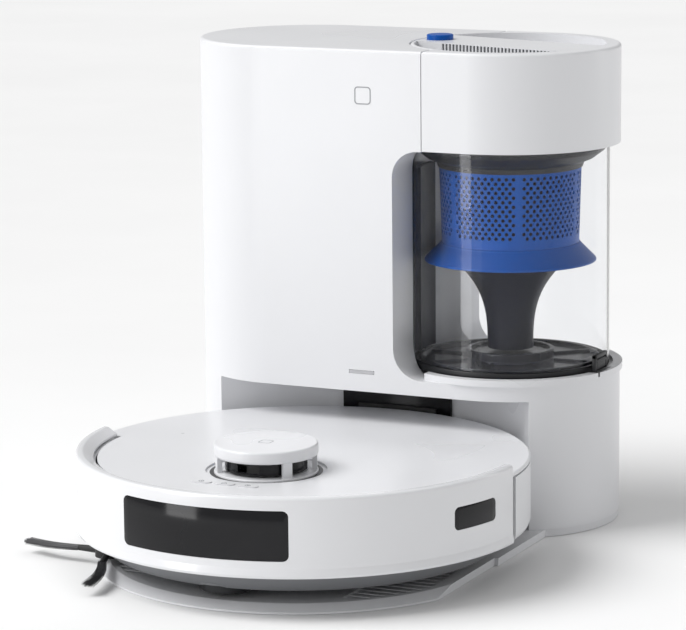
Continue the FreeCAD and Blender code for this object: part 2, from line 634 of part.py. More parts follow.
def side_glass(name, side, grow):
    """Sensor window on the bumper's flank, centred 17.7 degrees ahead of the X axis."""
    plate = box(name + "_box", (100, 200), (-22.8 - grow, 22.8 + grow), (55.3 - grow, 72.4 + grow))
    plate = rounded(name + "_soft", plate, 4, along("X"))
    doc.recompute()
    angle = -17.7 if side > 0 else 180 + 17.7
    turned = doc.addObject("Part::Compound", name)
    turned.Links = [plate]
    turned.Placement = Placement(Vector(), Rotation(Vector(0, 0, 1), angle))
    return turned


PILLARS = (-39, -141, 25, 155)


def make_turret():
    base = drum("turret_drum", 34, (56, 79), 0, "turret_y")
    plinth = drum("turret_plinth", "turret_radius", (79, 85.4), 0, "turret_y")
    cap = rounded("turret_cap_soft", drum("turret_cap", "turret_radius", (96.2, "turret_top"), 0, "turret_y"),
                  1.5, level_at("turret_top"))
    pillars = []
    for i, angle in enumerate(PILLARS):
        x = 36 * math.cos(math.radians(angle))
        y = 36 * math.sin(math.radians(angle))
        pillars.append(drum(f"pillar_{i}", 2.6, (85, 96.5), x, f"turret_y + {y}"))
    whole = fuse("turret_whole", base, plinth, cap, *pillars)
    node("turret_cage", cut("turret_cage", whole, drum("rotor_bore", 4.06, (76, 90), 0, "turret_y")))
    head = drum("rotor_head", 31, (85.9, 95.8), 0, "turret_y")
    slit = box("rotor_slit", (-9, 9), (-100, "turret_y - 22"), (88, 93.6))
    head = cut("rotor_cut", head, slit)
    node("lidar_rotor", fuse("lidar_rotor", head, drum("rotor_shaft", 4, (77, 86.5), 0, "turret_y")))


def make_robot_insides():
    case = box("dust_case", (-72, 72), (62, 134), (22, 78))
    node("dust_box", cut("dust_box", case, box("dust_hollow", (-70, 70), (64, 132), (24, 76)),
                         box("dust_mouth", (-30, 30), (55, 70), (30, 46))))
    ribs = [box(f"pleat_{i}", (72.2, 79.5), (72 + 4.5 * i, 74.4 + 4.5 * i), (32, 70)) for i in range(12)]
    node("dust_filter", fuse("dust_filter", box("filter_frame", (72.2, 74), (68, 128), (28, 74)), *ribs))
    spot = (108, 84)
    case = drum("blower_case", 27, (31, 73), *spot)
    node("fan_housing", cut("fan_housing", case, drum("blower_hollow", 24.5, (34, 70.5), *spot),
                            drum("blower_mouth", 12, (67, 77), *spot),
                            drum("blower_bore", 3.06, (27, 37), *spot)))
    hub = [drum("blower_disc", 22, (39, 41), *spot), drum("blower_hub", 7, (39, 59), *spot),
           drum("blower_shaft", 3, (31.3, 40), *spot)]
    node("impeller", fuse("impeller", *hub, *blades("blower", 9, 6, 21.5, (40.5, 55), *spot)))
    cells = rounded("battery", box("battery_box", (-78, 78), (-88, -40), (19.2, 50)), 3, along("Z"))
    node("battery", cells)
    board = box("main_sheet", (-74, 74), (-86, -42), (50.2, 51.8))
    chips = [box("main_chip_0", (-60, -40), (-70, -52), (51.8, 54)),
             box("main_chip_1", (44, 64), (-78, -60), (51.8, 55)),
             box("main_chip_2", (-68, -54), (-84, -76), (51.8, 58)),
             box("main_chip_3", (40, 68), (-54, -46), (51.8, 57))]
    node("main_board", fuse("main_board", board, *chips))


def make_drive(side, word):
    """One driving wheel on its swinging arm; side is -1 on the left."""
    def spread(low, high):
        return (low, high) if side > 0 else (f"-({high})", f"-({low})")
    axle_z = "plate_top + ground_gap + wheel_radius"
    inner, outer = "wheel_track - wheel_width / 2", "wheel_track + wheel_width / 2"
    arm = fuse(f"arm_{word}", rod(f"arm_boss_{word}", 15, "X", spread("121", "131"), 0, axle_z),
               box(f"arm_beam_{word}", spread("121", "131"), (0, 38), ("36", "51")),
               rod(f"arm_pivot_boss_{word}", 7.5, "X", spread("121", "131"), 38, 43.5),
               rod(f"arm_pivot_{word}", 3, "X", spread("131", "134.5"), 38, 43.5),
               rod(f"arm_axle_{word}", 4, "X", spread(f"{inner} + 3", "122"), 0, axle_z))
    node(f"drive_arm_{word}", arm)
    rim = rod(f"rim_{word}", "wheel_radius - 6", "X", spread(f"{inner} + 1", f"{outer} - 1"), 0, axle_z)
    dish = rod(f"dish_{word}", "wheel_radius - 11", "X", spread(f"{outer} - 6", f"{outer} + 1"), 0, axle_z)
    bore = rod(f"hub_bore_{word}", 4.06, "X", spread(f"{inner} + 2.7", f"{outer} + 5"), 0, axle_z)
    node(f"wheel_hub_{word}", cut(f"wheel_hub_{word}", rim, dish, bore))
    tread = rod(f"tread_{word}", "wheel_radius", "X", spread(inner, outer), 0, axle_z)
    tread = rounded(f"tread_soft_{word}", tread, 2, lambda e: e.Curve.TypeId == "Part::GeomCircle")
    hollow = rod(f"tyre_bore_{word}", "wheel_radius - 6", "X", spread(f"{inner} - 5", f"{outer} + 5"), 0,
                 axle_z)
    node(f"tyre_{word}", cut(f"tyre_{word}", tread, hollow))


def make_main_brush():
    guard = box("guard_box", (-88, 88), (4, 56), ("pan_low", 52))
    hollow = box("guard_hollow", (-84.5, 84.5), (7, 53), (0, 49))
    mouth = box("guard_mouth", (-30, 30), (50, 60), (30, 46))
    node("brush_guard", cut("brush_guard", guard, hollow, mouth))
    core = fuse("brush_core", rod("core_barrel", 9, "X", (-80, 80), "brush_y", "brush_z"),
                rod("core_shaft", 3, "X", (-84, 84), "brush_y", "brush_z"))
    node("brush_core", core)
    strips = []
    for i in range(6):
        strip = doc.addObject("Part::Box", f"brush_strip_{i}")
        bind(strip, "Length", 156)
        bind(strip, "Width", 2.2)
        bind(strip, "Height", "brush_radius - 8.9")
        axis = Placement(Vector(-78, number("brush_y"), number("brush_z")), Rotation(Vector(1, 0, 0), 60 * i))
        strip.Placement = axis.multiply(Placement(Vector(0, -1.1, 8.9), Rotation()))
        strips.append(strip)
    strips = fuse("brush_strips", *strips)
    node("brush_blades", cut("brush_blades", strips,
                             rod("blade_bore", 9, "X", (-90, 90), "brush_y", "brush_z")))


def spoke(name, angle, start, end, thick, thin):
    """A tapered arm of the side brush; start and end are (reach, height) from the brush's axis."""
    solid = doc.addObject("Part::Cone", name)
    run, drop = number(end[0]) - start[0], end[1] - start[1]
    for prop, size in (("Radius1", thick), ("Radius2", thin), ("Height", math.hypot(run, drop))):
        bind(solid, prop, size)
    spot = Placement(Vector(number("side_x"), number("side_y"), 0), Rotation(Vector(0, 0, 1), angle))
    lean = Rotation(Vector(0, 1, 0), 90 - math.degrees(math.atan2(drop, run)))
    solid.Placement = spot.multiply(Placement(Vector(start[0], 0, start[1]), lean))
    return solid


def make_side_brush():
    spot = ("side_x", "side_y")
    hub = [drum("side_hub", 11, (9, 15.2), *spot), drum("side_shaft", 3, (14, 34), *spot)]
    roots = [spoke(f"side_root_{i}", angle, (8, 12.2), (31, 11), 2.9, 2.3) for i, angle in enumerate(ARMS)]
    hairs = [spoke(f"side_hair_{i}", angle, (31.05, 11), ("side_reach", 8.4), 2.1, 1.2) for i,
             angle in enumerate(ARMS)]
    node("side_brush_hub", fuse("side_brush_hub", *hub, *roots))
    node("side_brush_bristles", fuse("side_brush_bristles", *hairs))


ARMS = (-72, 168, 48)


def make_caster():
    lift = VALUES["plate_top"] + VALUES["ground_gap"] + VALUES["caster_radius"]
    trail = "caster_y + 4"
    fork = fuse("fork_whole", drum("fork_disc", 20, (33, 37), 0, "caster_y"),
                drum("fork_stem", 4, (36, 43), 0, "caster_y"),
                box("fork_leg_left", (-12, -8.5), ("caster_y - 4", "caster_y + 12"), (14, 34)),
                box("fork_leg_right", (8.5, 12), ("caster_y - 4", "caster_y + 12"), (14, 34)),
                rod("fork_axle", 2, "X", (-10, 10), trail, lift))
    node("caster_fork", fork)
    wheel = rod("caster_disc", "caster_radius", "X", (-7.5, 7.5), trail, lift)
    wheel = rounded("caster_soft", wheel, 2.5, lambda e: e.Curve.TypeId == "Part::GeomCircle")
    node("caster_wheel", cut("caster_wheel", wheel, rod("caster_bore", 2.06, "X", (-9, 9), trail, lift)))


def make_all():
    make_base_plate()
    make_treads()
    make_tower()
    make_rear_cover()
    make_dock()
    make_station_insides()
    make_head()
    make_bin()
    make_bin_floor()
    make_chassis()
    make_rear_shell()
    make_cover()
    make_bumper()
    make_turret()
    make_robot_insides()
    for side, word in ((-1, "left"), (1, "right")):
        make_drive(side, word)
    make_main_brush()
    make_side_brush()
    make_caster()


def check_and_export():
    """Stop on any failed object or bad shape, then write one file for each sub-part."""
    doc.recompute()
    faults = [thing.Name for thing in doc.Objects if {"Invalid", "Error"} & set(thing.State)]
    faults += [thing.Label for thing in NODES if thing.Shape.isNull() or not thing.Shape.isValid()]
    if faults:
        raise RuntimeError(f"failed: {faults}")
    os.makedirs("parts", exist_ok=True)
    for thing in NODES:
        thing.Shape.exportStep(f"parts/{thing.Label}.step")
        print(f"{thing.Label:22s} {len(thing.Shape.Solids):3d} solids {thing.Shape.Volume / 1000:9.2f} cm3")
    print(len(NODES), "nodes")


make_all()
check_and_export()
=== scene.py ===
"""A robot vacuum parked in its emptying station: the looks, built around the packed frame."""

import json
import math

import bmesh
import bpy
from bpy.props import FloatProperty, FloatVectorProperty, IntProperty, PointerProperty
from mathutils import Matrix, Vector


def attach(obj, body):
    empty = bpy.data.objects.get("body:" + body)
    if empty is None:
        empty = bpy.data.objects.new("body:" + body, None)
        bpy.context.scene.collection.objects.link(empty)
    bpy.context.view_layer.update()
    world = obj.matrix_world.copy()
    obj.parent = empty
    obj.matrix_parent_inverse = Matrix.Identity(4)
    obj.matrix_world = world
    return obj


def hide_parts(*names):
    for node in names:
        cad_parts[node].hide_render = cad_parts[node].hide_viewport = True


bl_info = {
    "name": "Robot vacuum looks",
    "version": (1, 0, 0),
    "blender": (4, 5, 0),
    "location": "3D View > Sidebar > Robot vacuum",
    "description": "Casings, cyclone bin, robot and studio, built around the packed frame",
    "category": "Object",
}

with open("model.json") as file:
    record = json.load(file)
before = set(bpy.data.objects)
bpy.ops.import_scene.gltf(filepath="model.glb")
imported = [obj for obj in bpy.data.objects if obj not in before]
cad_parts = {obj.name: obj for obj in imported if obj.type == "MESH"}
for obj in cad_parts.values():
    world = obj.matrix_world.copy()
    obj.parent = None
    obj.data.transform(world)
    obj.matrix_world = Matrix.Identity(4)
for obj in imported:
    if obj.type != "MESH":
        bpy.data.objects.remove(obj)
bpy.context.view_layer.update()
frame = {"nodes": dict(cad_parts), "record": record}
NODES = frame["nodes"]
MM = 0.001


# ---------- sizes and colours a user would change ----------

class CasingLooks(bpy.types.PropertyGroup):
    white: FloatVectorProperty(name="Casing white", description="Moulded casings of tower and robot",
                               subtype="COLOR", size=3, default=(0.785, 0.79, 0.81))
    plate_white: FloatVectorProperty(name="Plate white", description="Matt white of the base plate",
                                     subtype="COLOR", size=3, default=(0.76, 0.765, 0.785))
    gloss: FloatProperty(name="Casing roughness", description="Roughness of the white casings",
                         default=0.30, min=0.05, max=1.0)


class BinLooks(bpy.types.PropertyGroup):
    blue: FloatVectorProperty(name="Blue", description="Screen, skirt and release button",
                              subtype="COLOR", size=3, default=(0.001, 0.085, 0.40))
    navy: FloatVectorProperty(name="Navy", description="Cyclone tube and spine",
                              subtype="COLOR", size=3, default=(0.013, 0.015, 0.028))
    hole_radius: FloatProperty(name="Hole radius", description="Holes of the screen",
                               default=1.5 * MM, unit="LENGTH")
    rows: IntProperty(name="Rows", description="Rows of holes, counted upwards", default=14, min=2)
    panels: IntProperty(name="Panels", description="Perforated panels around the screen", default=6, min=3)


class BrushSizes(bpy.types.PropertyGroup):
    hairs: IntProperty(name="Hairs", description="Bristles in each arm of the side brush", default=70, min=8)


class StageSizes(bpy.types.PropertyGroup):
    eye: FloatVectorProperty(name="Camera", description="Where the camera stands", subtype="TRANSLATION",
                             unit="LENGTH", size=3, default=(1.0868, -2.2421, 0.6525))
    yaw: FloatProperty(name="Yaw", description="Camera's turn to the left", subtype="ANGLE",
                       default=math.radians(25.12))
    pitch: FloatProperty(name="Pitch", description="Camera's tilt below level", subtype="ANGLE",
                         default=math.radians(10.51))
    roll: FloatProperty(name="Roll", description="Camera's roll", subtype="ANGLE",
                        default=math.radians(-0.56))
    lens: FloatProperty(name="Lens", description="Focal length in millimetres", default=175.8)


# ---------- materials ----------

class Shader:
    """A node material under construction."""

    def __init__(self, name):
        self.material = bpy.data.materials.new(name)
        self.material.use_nodes = True
        self.tree = self.material.node_tree
        self.surface = self.tree.nodes["Principled BSDF"]
        self.place = self.tree.nodes.new("ShaderNodeTexCoord").outputs["Object"]

    def set(self, **values):
        for socket, value in values.items():
            self.surface.inputs[socket.replace("_", " ")].default_value = value
        return self

    def noise(self, scale, detail=3.0, rough=0.6):
        node = self.tree.nodes.new("ShaderNodeTexNoise")
        self.tree.links.new(self.place, node.inputs["Vector"])
        for socket, value in (("Scale", scale), ("Detail", detail), ("Roughness", rough)):
            node.inputs[socket].default_value = value
        return node.outputs["Fac"]

    def ramp(self, factor, low, high, start=0.3, end=0.7):
        """Blend from one colour or grey to another as factor goes from start to end."""
        node = self.tree.nodes.new("ShaderNodeValToRGB")
        self.tree.links.new(factor, node.inputs["Fac"])
        for stop, spot, value in zip(node.color_ramp.elements, (start, end), (low, high)):
            stop.position = spot
            stop.color = (value, value, value, 1) if isinstance(value, float) else (*value, 1)
        return node.outputs["Color"]

    def feed(self, output, socket):
        self.tree.links.new(output, self.surface.inputs[socket])
        return self

    def bump(self, height, strength, distance):
        node = self.tree.nodes.new("ShaderNodeBump")
        node.inputs["Strength"].default_value = strength
        node.inputs["Distance"].default_value = distance
        self.tree.links.new(height, node.inputs["Height"])
        return self.feed(node.outputs["Normal"], "Normal")


def shade(colour, amount):
    return tuple(min(1.0, channel * amount) for channel in colour[:3])


def moulded(name, colour, rough, grain=420, depth=0.006, drift=0.02, coat=0.0, shine=0.5):
    """Moulded plastic: a slight drift of tone, uneven gloss and a fine spark-eroded grain."""
    make = Shader(name)
    make.set(IOR=1.5, Coat_Weight=coat, Coat_Roughness=0.06, Specular_IOR_Level=shine)
    tone = make.noise(6.0, 2.0)
    make.feed(make.ramp(tone, shade(colour, 1 - drift), shade(colour, 1 + drift * 0.5)), "Base Color")
    make.feed(make.ramp(make.noise(12.0, 1.0), rough * 0.9, rough * 1.1), "Roughness")
    if depth:
        make.bump(make.noise(grain, 1.0), depth, 0.0002)
    return make.material


def black_glass(name):
    """Gloss black cover that infrared light passes."""
    make = Shader(name)
    make.set(IOR=1.4, Specular_IOR_Level=0.4)
    make.feed(make.ramp(make.noise(9.0), (0.006, 0.006, 0.007), (0.012, 0.012, 0.014)), "Base Color")
    make.feed(make.ramp(make.noise(20.0), 0.08, 0.13), "Roughness")
    make.bump(make.noise(14.0, 1.0), 0.03, 0.0004)
    return make.material


def clear_plastic(name, tint, rough):
    """Clear moulded polycarbonate with faint flow lines."""
    make = Shader(name)
    make.set(IOR=1.1, Transmission_Weight=1.0, Roughness=rough, Coat_Weight=0.35, Coat_Roughness=0.02)
    make.feed(make.ramp(make.noise(5.0, 1.0), shade(tint, 0.985), tint), "Base Color")
    return make.material


def smoked_plastic(name):
    """Smoke-tinted moulded plastic, half see-through."""
    make = Shader(name)
    make.set(IOR=1.35, Transmission_Weight=0.35, Roughness=0.14, Specular_IOR_Level=0.4)
    make.feed(make.ramp(make.noise(8.0, 1.0), (0.040, 0.042, 0.056), (0.052, 0.054, 0.070)), "Base Color")
    return make.material


def rubber(name, colour, rough=0.62):
    make = Shader(name)
    make.set(IOR=1.5, Sheen_Weight=0.08, Sheen_Roughness=0.4)
    make.feed(make.ramp(make.noise(60.0), shade(colour, 0.8), shade(colour, 1.2)), "Base Color")
    make.feed(make.ramp(make.noise(120.0), rough * 0.9, min(1.0, rough * 1.15)), "Roughness")
    make.bump(make.noise(1400.0, 2.0), 0.12, 0.0002)
    return make.material


def metal(name, colour, rough, stretch):
    """Turned or brushed metal: streaks along one axis."""
    make = Shader(name)
    make.set(Metallic=1.0, Anisotropic=0.3)
    mapping = make.tree.nodes.new("ShaderNodeMapping")
    mapping.inputs["Scale"].default_value = stretch
    make.tree.links.new(make.place, mapping.inputs["Vector"])
    make.place = mapping.outputs["Vector"]
    streaks = make.noise(300.0)
    make.feed(make.ramp(streaks, shade(colour, 0.85), colour), "Base Color")
    make.feed(make.ramp(streaks, rough * 0.8, rough * 1.3), "Roughness")
    make.bump(streaks, 0.05, 0.0001)
    return make.material


def make_materials():
    casing = bpy.context.scene.casing_looks
    bin_looks = bpy.context.scene.bin_looks
    white = tuple(casing.white)
    made = {
        "white_shell": moulded("casing_white", white, casing.gloss),
        "white_bumper": moulded("bumper_white", white, 0.22, coat=0.25),
        "plate_white": moulded("plate_matt_white", tuple(casing.plate_white), 0.55, 420, 0.012),
        "black_gloss": black_glass("infrared_black"),
        "dark_plastic": moulded("dark_plastic", (0.010, 0.011, 0.013), 0.42, 420, 0.02, 0.15),
        "dark_navy": moulded("cyclone_navy", tuple(bin_looks.navy), 0.42, 420, 0.0, 0.08, shine=0.15),
        "blue": moulded("screen_blue", tuple(bin_looks.blue), 0.36, 420, 0.004, 0.05, shine=0.2),
        "clear_bin": clear_plastic("bin_clear", (0.975, 0.98, 0.99), 0.0),
        "smoke_floor": smoked_plastic("bin_smoke"),
        "rubber": rubber("black_rubber", (0.012, 0.012, 0.012)),
        "tyre": rubber("tyre_rubber", (0.03, 0.03, 0.032), 0.75),
        "steel": metal("screw_steel", (0.56, 0.56, 0.57), 0.3, (1, 1, 8)),
        "contact": metal("contact_plating", (0.78, 0.70, 0.50), 0.22, (8, 1, 1)),
        "filter_paper": moulded("filter_paper", (0.74, 0.73, 0.68), 0.9, 260, 0.5, 0.06),
        "light_lens": moulded("status_lens", (0.50, 0.50, 0.52), 0.25),
        "pcb": moulded("board_green", (0.01, 0.07, 0.03), 0.35, 200, 0.1, 0.2),
        "battery_wrap": moulded("battery_wrap", (0.01, 0.03, 0.12), 0.35),
        "bristle": moulded("bristle_nylon", (0.075, 0.075, 0.08), 0.5, 1200, 0.1, 0.2),
        "brush_rubber": rubber("brush_rubber", (0.05, 0.055, 0.07)),
    }
    # Near-black, almost unreflective: painted shade of the hollow inside the screen, seen through its holes
    made["liner_painted_shade"] = moulded("liner_painted_shade", (0.001, 0.002, 0.010), 0.8, drift=0.1, shine=0.05)
    made["front_glass"] = black_glass("front_sensor_glass")
    # Mid grey for the chassis pan: painted shade, so the pan reads as the shadow under the bumper
    made["pan_painted_shade_grey"] = moulded("underside_painted_shade_grey", (0.17, 0.175, 0.185), 0.6)
    # Grey for the strip behind the grille ribs: painted shade of the vent slots
    made["vent_painted_shade_grey"] = moulded("vent_painted_shade_grey", (0.16, 0.165, 0.175), 0.7)
    made["mark_grey"] = moulded("printed_grey", (0.33, 0.34, 0.36), 0.45)
    return made


MATERIALS = {}


# ---------- mesh helpers ----------

def corner_arcs(points, steps=6):
    """Round a closed outline: each point is (u, v) or (u, v, radius)."""
    out = []
    count = len(points)
    for i, point in enumerate(points):
        here = Vector(point[:2])
        radius = point[2] if len(point) > 2 else 0
        if not radius:
            out.append(here)
            continue
        before = (Vector(points[i - 1][:2]) - here)
        after = (Vector(points[(i + 1) % count][:2]) - here)
        a, b = before.normalized(), after.normalized()
        half = a.angle(b) / 2
        reach = min(radius / math.tan(half), before.length * 0.49, after.length * 0.49)
        radius = reach * math.tan(half)
        centre = here + (a + b).normalized() * (radius / math.sin(half))
        start, end = here + a * reach - centre, here + b * reach - centre
        turn = start.angle_signed(end)
        for step in range(steps + 1):
            out.append(centre + Matrix.Rotation(-turn * step / steps, 2) @ start)
    return out


def mesh_object(name, bm):
    mesh = bpy.data.meshes.new(name)
    bmesh.ops.remove_doubles(bm, verts=bm.verts, dist=1e-6)
    bmesh.ops.recalc_face_normals(bm, faces=bm.faces)
    bm.to_mesh(mesh)
    bm.free()
    thing = bpy.data.objects.new(name, mesh)
    bpy.context.scene.collection.objects.link(thing)
    return thing


def turned(name, outline, centre, segments=128, arc=None):
    """Spin a closed (radius, height) outline, in millimetres, about an upright axis through centre.
    arc gives start and end in degrees for a part turn, whose ends are closed."""
    bm = bmesh.new()
    first, last = arc or (0, 360)
    steps = segments if arc else segments
    rings = []
    for i in range(steps + (1 if arc else 0)):
        angle = math.radians(first + (last - first) * i / steps)
        spot = Vector((math.cos(angle), math.sin(angle), 0))
        rings.append([bm.verts.new((Vector((centre[0], centre[1], z)) + spot * r) * MM) for r, z in outline])
    count = len(outline)
    for i in range(len(rings) - 1 if arc else len(rings)):
        near, far = rings[i], rings[(i + 1) % len(rings)]
        for j in range(count):
            k = (j + 1) % count
            corners = []
            for vert in (near[j], near[k], far[k], far[j]):
                if all((vert.co - other.co).length > 1e-7 for other in corners):
                    corners.append(vert)
            if len(corners) > 2:
                bm.faces.new(corners)
    if arc:
        bm.faces.new(rings[0])
        bm.faces.new(rings[-1])
    return mesh_object(name, bm)


def prism(name, outline, low, high):
    """A flat plate: an (x, y) outline in millimetres from height low to high."""
    bm = bmesh.new()
    base = bm.faces.new([bm.verts.new((x * MM, y * MM, low * MM)) for x, y in outline])
    top = bmesh.ops.extrude_face_region(bm, geom=[base])
    lift = Vector((0, 0, (high - low) * MM))
    bmesh.ops.translate(bm, verts=[v for v in top["geom"] if isinstance(v, bmesh.types.BMVert)], vec=lift)
    return mesh_object(name, bm)


def block(name, low, high):
    outline = [(low[0], low[1]), (high[0], low[1]), (high[0], high[1]), (low[0], high[1])]
    return prism(name, outline, low[2], high[2])


def baked(thing):
    """Apply every modifier of an object and keep its place."""
    depsgraph = bpy.context.evaluated_depsgraph_get()
    mesh = bpy.data.meshes.new_from_object(thing.evaluated_get(depsgraph))
    thing.modifiers.clear()
    thing.data = mesh
    return thing


def bevelled(thing, width, segments=3, angle=35):
    """Round the sharp edges of an object by width millimetres."""
    soft = thing.modifiers.new("edges", "BEVEL")
    soft.width = width * MM
    soft.segments = segments
    soft.limit_method = "ANGLE"
    soft.angle_limit = math.radians(angle)
    soft.harden_normals = False
    return baked(thing)


def carved(thing, *cutters):
    """Take cutters away from an object."""
    for cutter in cutters:
        cut = thing.modifiers.new("cut", "BOOLEAN")
        cut.operation = "DIFFERENCE"
        cut.solver = "EXACT"
        cut.object = cutter
    baked(thing)
    for cutter in cutters:
        bpy.data.objects.remove(cutter)
    return thing


def joined(name, *things):
    """One object from several."""
    bm = bmesh.new()
    for thing in things:
        bm.from_mesh(thing.data)
        bpy.data.objects.remove(thing)
    mesh = bpy.data.meshes.new(name)
    bm.to_mesh(mesh)
    bm.free()
    thing = bpy.data.objects.new(name, mesh)
    bpy.context.scene.collection.objects.link(thing)
    return thing


def placed(thing, matrix):
    thing.data.transform(matrix)
    return thing


def smooth(thing, angle=32):
    for face in thing.data.polygons:
        face.use_smooth = True
    thing.data.set_sharp_from_angle(angle=math.radians(angle))
    return thing


def finished(thing, name, body, slot, *stands_for, material=None, angle=32):
    """Name a piece, give it its finish and let it ride on its body."""
    thing.name = name
    thing.data.name = name
    thing.data.materials.clear()
    thing.data.materials.append(material or MATERIALS[slot])
    smooth(thing, angle)
    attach(thing, body)
    if stands_for:
        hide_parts(*stands_for)
    return thing


# ---------- geometry node trees ----------

class Nodes:
    """A geometry node tree with named inputs."""

    def __init__(self, name, inputs):
        self.tree = bpy.data.node_groups.new(name, "GeometryNodeTree")
        face = self.tree.interface
        for label, kind, value in inputs:
            socket = face.new_socket(label, in_out="INPUT", socket_type=kind)
            if value is not None:
                socket.default_value = value
        face.new_socket("Geometry", in_out="OUTPUT", socket_type="NodeSocketGeometry")
        self.source = self.tree.nodes.new("NodeGroupInput")
        self.sink = self.tree.nodes.new("NodeGroupOutput")

    def input(self, label):
        return self.source.outputs[label]

    def add(self, kind, inputs=None, **settings):
        node = self.tree.nodes.new(kind)
        for key, value in settings.items():
            setattr(node, key, value)
        for key, value in (inputs or {}).items():
            self.wire(value, node.inputs[key])
        return node

    def wire(self, value, socket):
        if isinstance(value, bpy.types.NodeSocket):
            self.tree.links.new(value, socket)
        else:
            socket.default_value = value

    def math(self, operation, a, b=0.0):
        node = self.add("ShaderNodeMath", {0: a, 1: b}, operation=operation)
        return node.outputs[0]

    def finish(self, geometry):
        real = self.add("GeometryNodeRealizeInstances", {"Geometry": geometry})
        paint = self.add("GeometryNodeSetMaterial",
                         {"Geometry": real.outputs[0], "Material": self.input("Material")})
        self.tree.links.new(paint.outputs[0], self.sink.inputs[0])


def grown(name, tree, **values):
    """Run a tree on an empty mesh and keep the plain result; sources among the values are removed."""
    thing = bpy.data.objects.new(name, bpy.data.meshes.new(name))
    bpy.context.scene.collection.objects.link(thing)
    run = thing.modifiers.new("grow", "NODES")
    run.node_group = tree
    sources = []
    for item in tree.interface.items_tree:
        if item.item_type == "SOCKET" and item.in_out == "INPUT" and item.name.lower() in values:
            value = values[item.name.lower()]
            run[item.identifier] = value
            if isinstance(value, bpy.types.Object):
                sources.append(value)
    baked(thing)
    for source in sources:
        bpy.data.objects.remove(source)
    return thing


def ring_tree():
    """Copies of a source turned about an upright axis."""
    make = Nodes("ring_of_copies", [("Source", "NodeSocketObject", None), ("Count", "NodeSocketInt", 12),
                                    ("Centre", "NodeSocketVector", None),
                                    ("Material", "NodeSocketMaterial", None)])
    points = make.add("GeometryNodeMeshLine", {"Count": make.input("Count"), "Offset": (0.0, 0.0, 0.0)})
    index = make.add("GeometryNodeInputIndex").outputs[0]
    share = make.math("DIVIDE", index, make.input("Count"))
    angle = make.math("MULTIPLY", share, math.tau)
    turn = make.add("ShaderNodeCombineXYZ", {"Z": angle})
    source = make.add("GeometryNodeObjectInfo", {"Object": make.input("Source")})
    copies = make.add("GeometryNodeInstanceOnPoints",
                      {"Points": points.outputs[0], "Instance": source.outputs["Geometry"],
                                                       "Rotation": turn.outputs[0]})
    moved = make.add("GeometryNodeTransform",
                     {"Geometry": copies.outputs[0], "Translation": make.input("Centre")})
    make.finish(moved.outputs[0])
    return make.tree


def row_tree():
    """Copies of a source along a straight line."""
    make = Nodes("row_of_copies", [("Source", "NodeSocketObject", None), ("Count", "NodeSocketInt", 12),
                                   ("Start", "NodeSocketVector", None), ("Step", "NodeSocketVector", None),
                                   ("Turn", "NodeSocketVector", None),
                                   ("Material", "NodeSocketMaterial", None)])
    points = make.add("GeometryNodeMeshLine",
                      {"Count": make.input("Count"), "Start Location": make.input("Start"),
                                               "Offset": make.input("Step")})
    source = make.add("GeometryNodeObjectInfo", {"Object": make.input("Source")})
    copies = make.add("GeometryNodeInstanceOnPoints",
                      {"Points": points.outputs[0], "Instance": source.outputs["Geometry"],
                                                       "Rotation": make.input("Turn")})
    make.finish(copies.outputs[0])
    return make.tree


def wrap_tree():
    """A flat source repeated along X and wrapped on a cone: X runs round it, Y runs up it."""
    make = Nodes("wrapped_copies", [("Source", "NodeSocketObject", None), ("Count", "NodeSocketInt", 6),
                                    ("Pitch", "NodeSocketFloat", 0.06), ("Radius", "NodeSocketFloat", 0.055),
                                    ("Taper", "NodeSocketFloat", 0.03), ("Turn", "NodeSocketFloat", 0.0),
                                    ("Centre", "NodeSocketVector", None),
                                    ("Material", "NodeSocketMaterial", None)])
    step = make.add("ShaderNodeCombineXYZ", {"X": make.input("Pitch")})
    points = make.add("GeometryNodeMeshLine", {"Count": make.input("Count"), "Offset": step.outputs[0]})
    source = make.add("GeometryNodeObjectInfo", {"Object": make.input("Source")})
    copies = make.add("GeometryNodeInstanceOnPoints",
                      {"Points": points.outputs[0], "Instance": source.outputs["Geometry"]})
    flat = make.add("GeometryNodeRealizeInstances", {"Geometry": copies.outputs[0]})
    parts = make.add("ShaderNodeSeparateXYZ", {0: make.add("GeometryNodeInputPosition").outputs[0]})
    whole = make.math("MULTIPLY", make.input("Pitch"), make.input("Count"))
    share = make.math("DIVIDE", parts.outputs["X"], whole)
    angle = make.math("ADD", make.math("MULTIPLY", share, math.tau), make.input("Turn"))
    lean = make.math("MULTIPLY", parts.outputs["Y"], make.input("Taper"))
    radius = make.math("ADD", make.math("ADD", make.input("Radius"), lean), parts.outputs["Z"])
    spot = make.add("ShaderNodeCombineXYZ", {"X": make.math("MULTIPLY", radius, make.math("COSINE", angle)),
                                             "Y": make.math("MULTIPLY", radius, make.math("SINE", angle)),
                                             "Z": parts.outputs["Y"]})
    bent = make.add("GeometryNodeSetPosition", {"Geometry": flat.outputs[0], "Position": spot.outputs[0]})
    moved = make.add("GeometryNodeTransform",
                     {"Geometry": bent.outputs[0], "Translation": make.input("Centre")})
    make.finish(moved.outputs[0])
    return make.tree


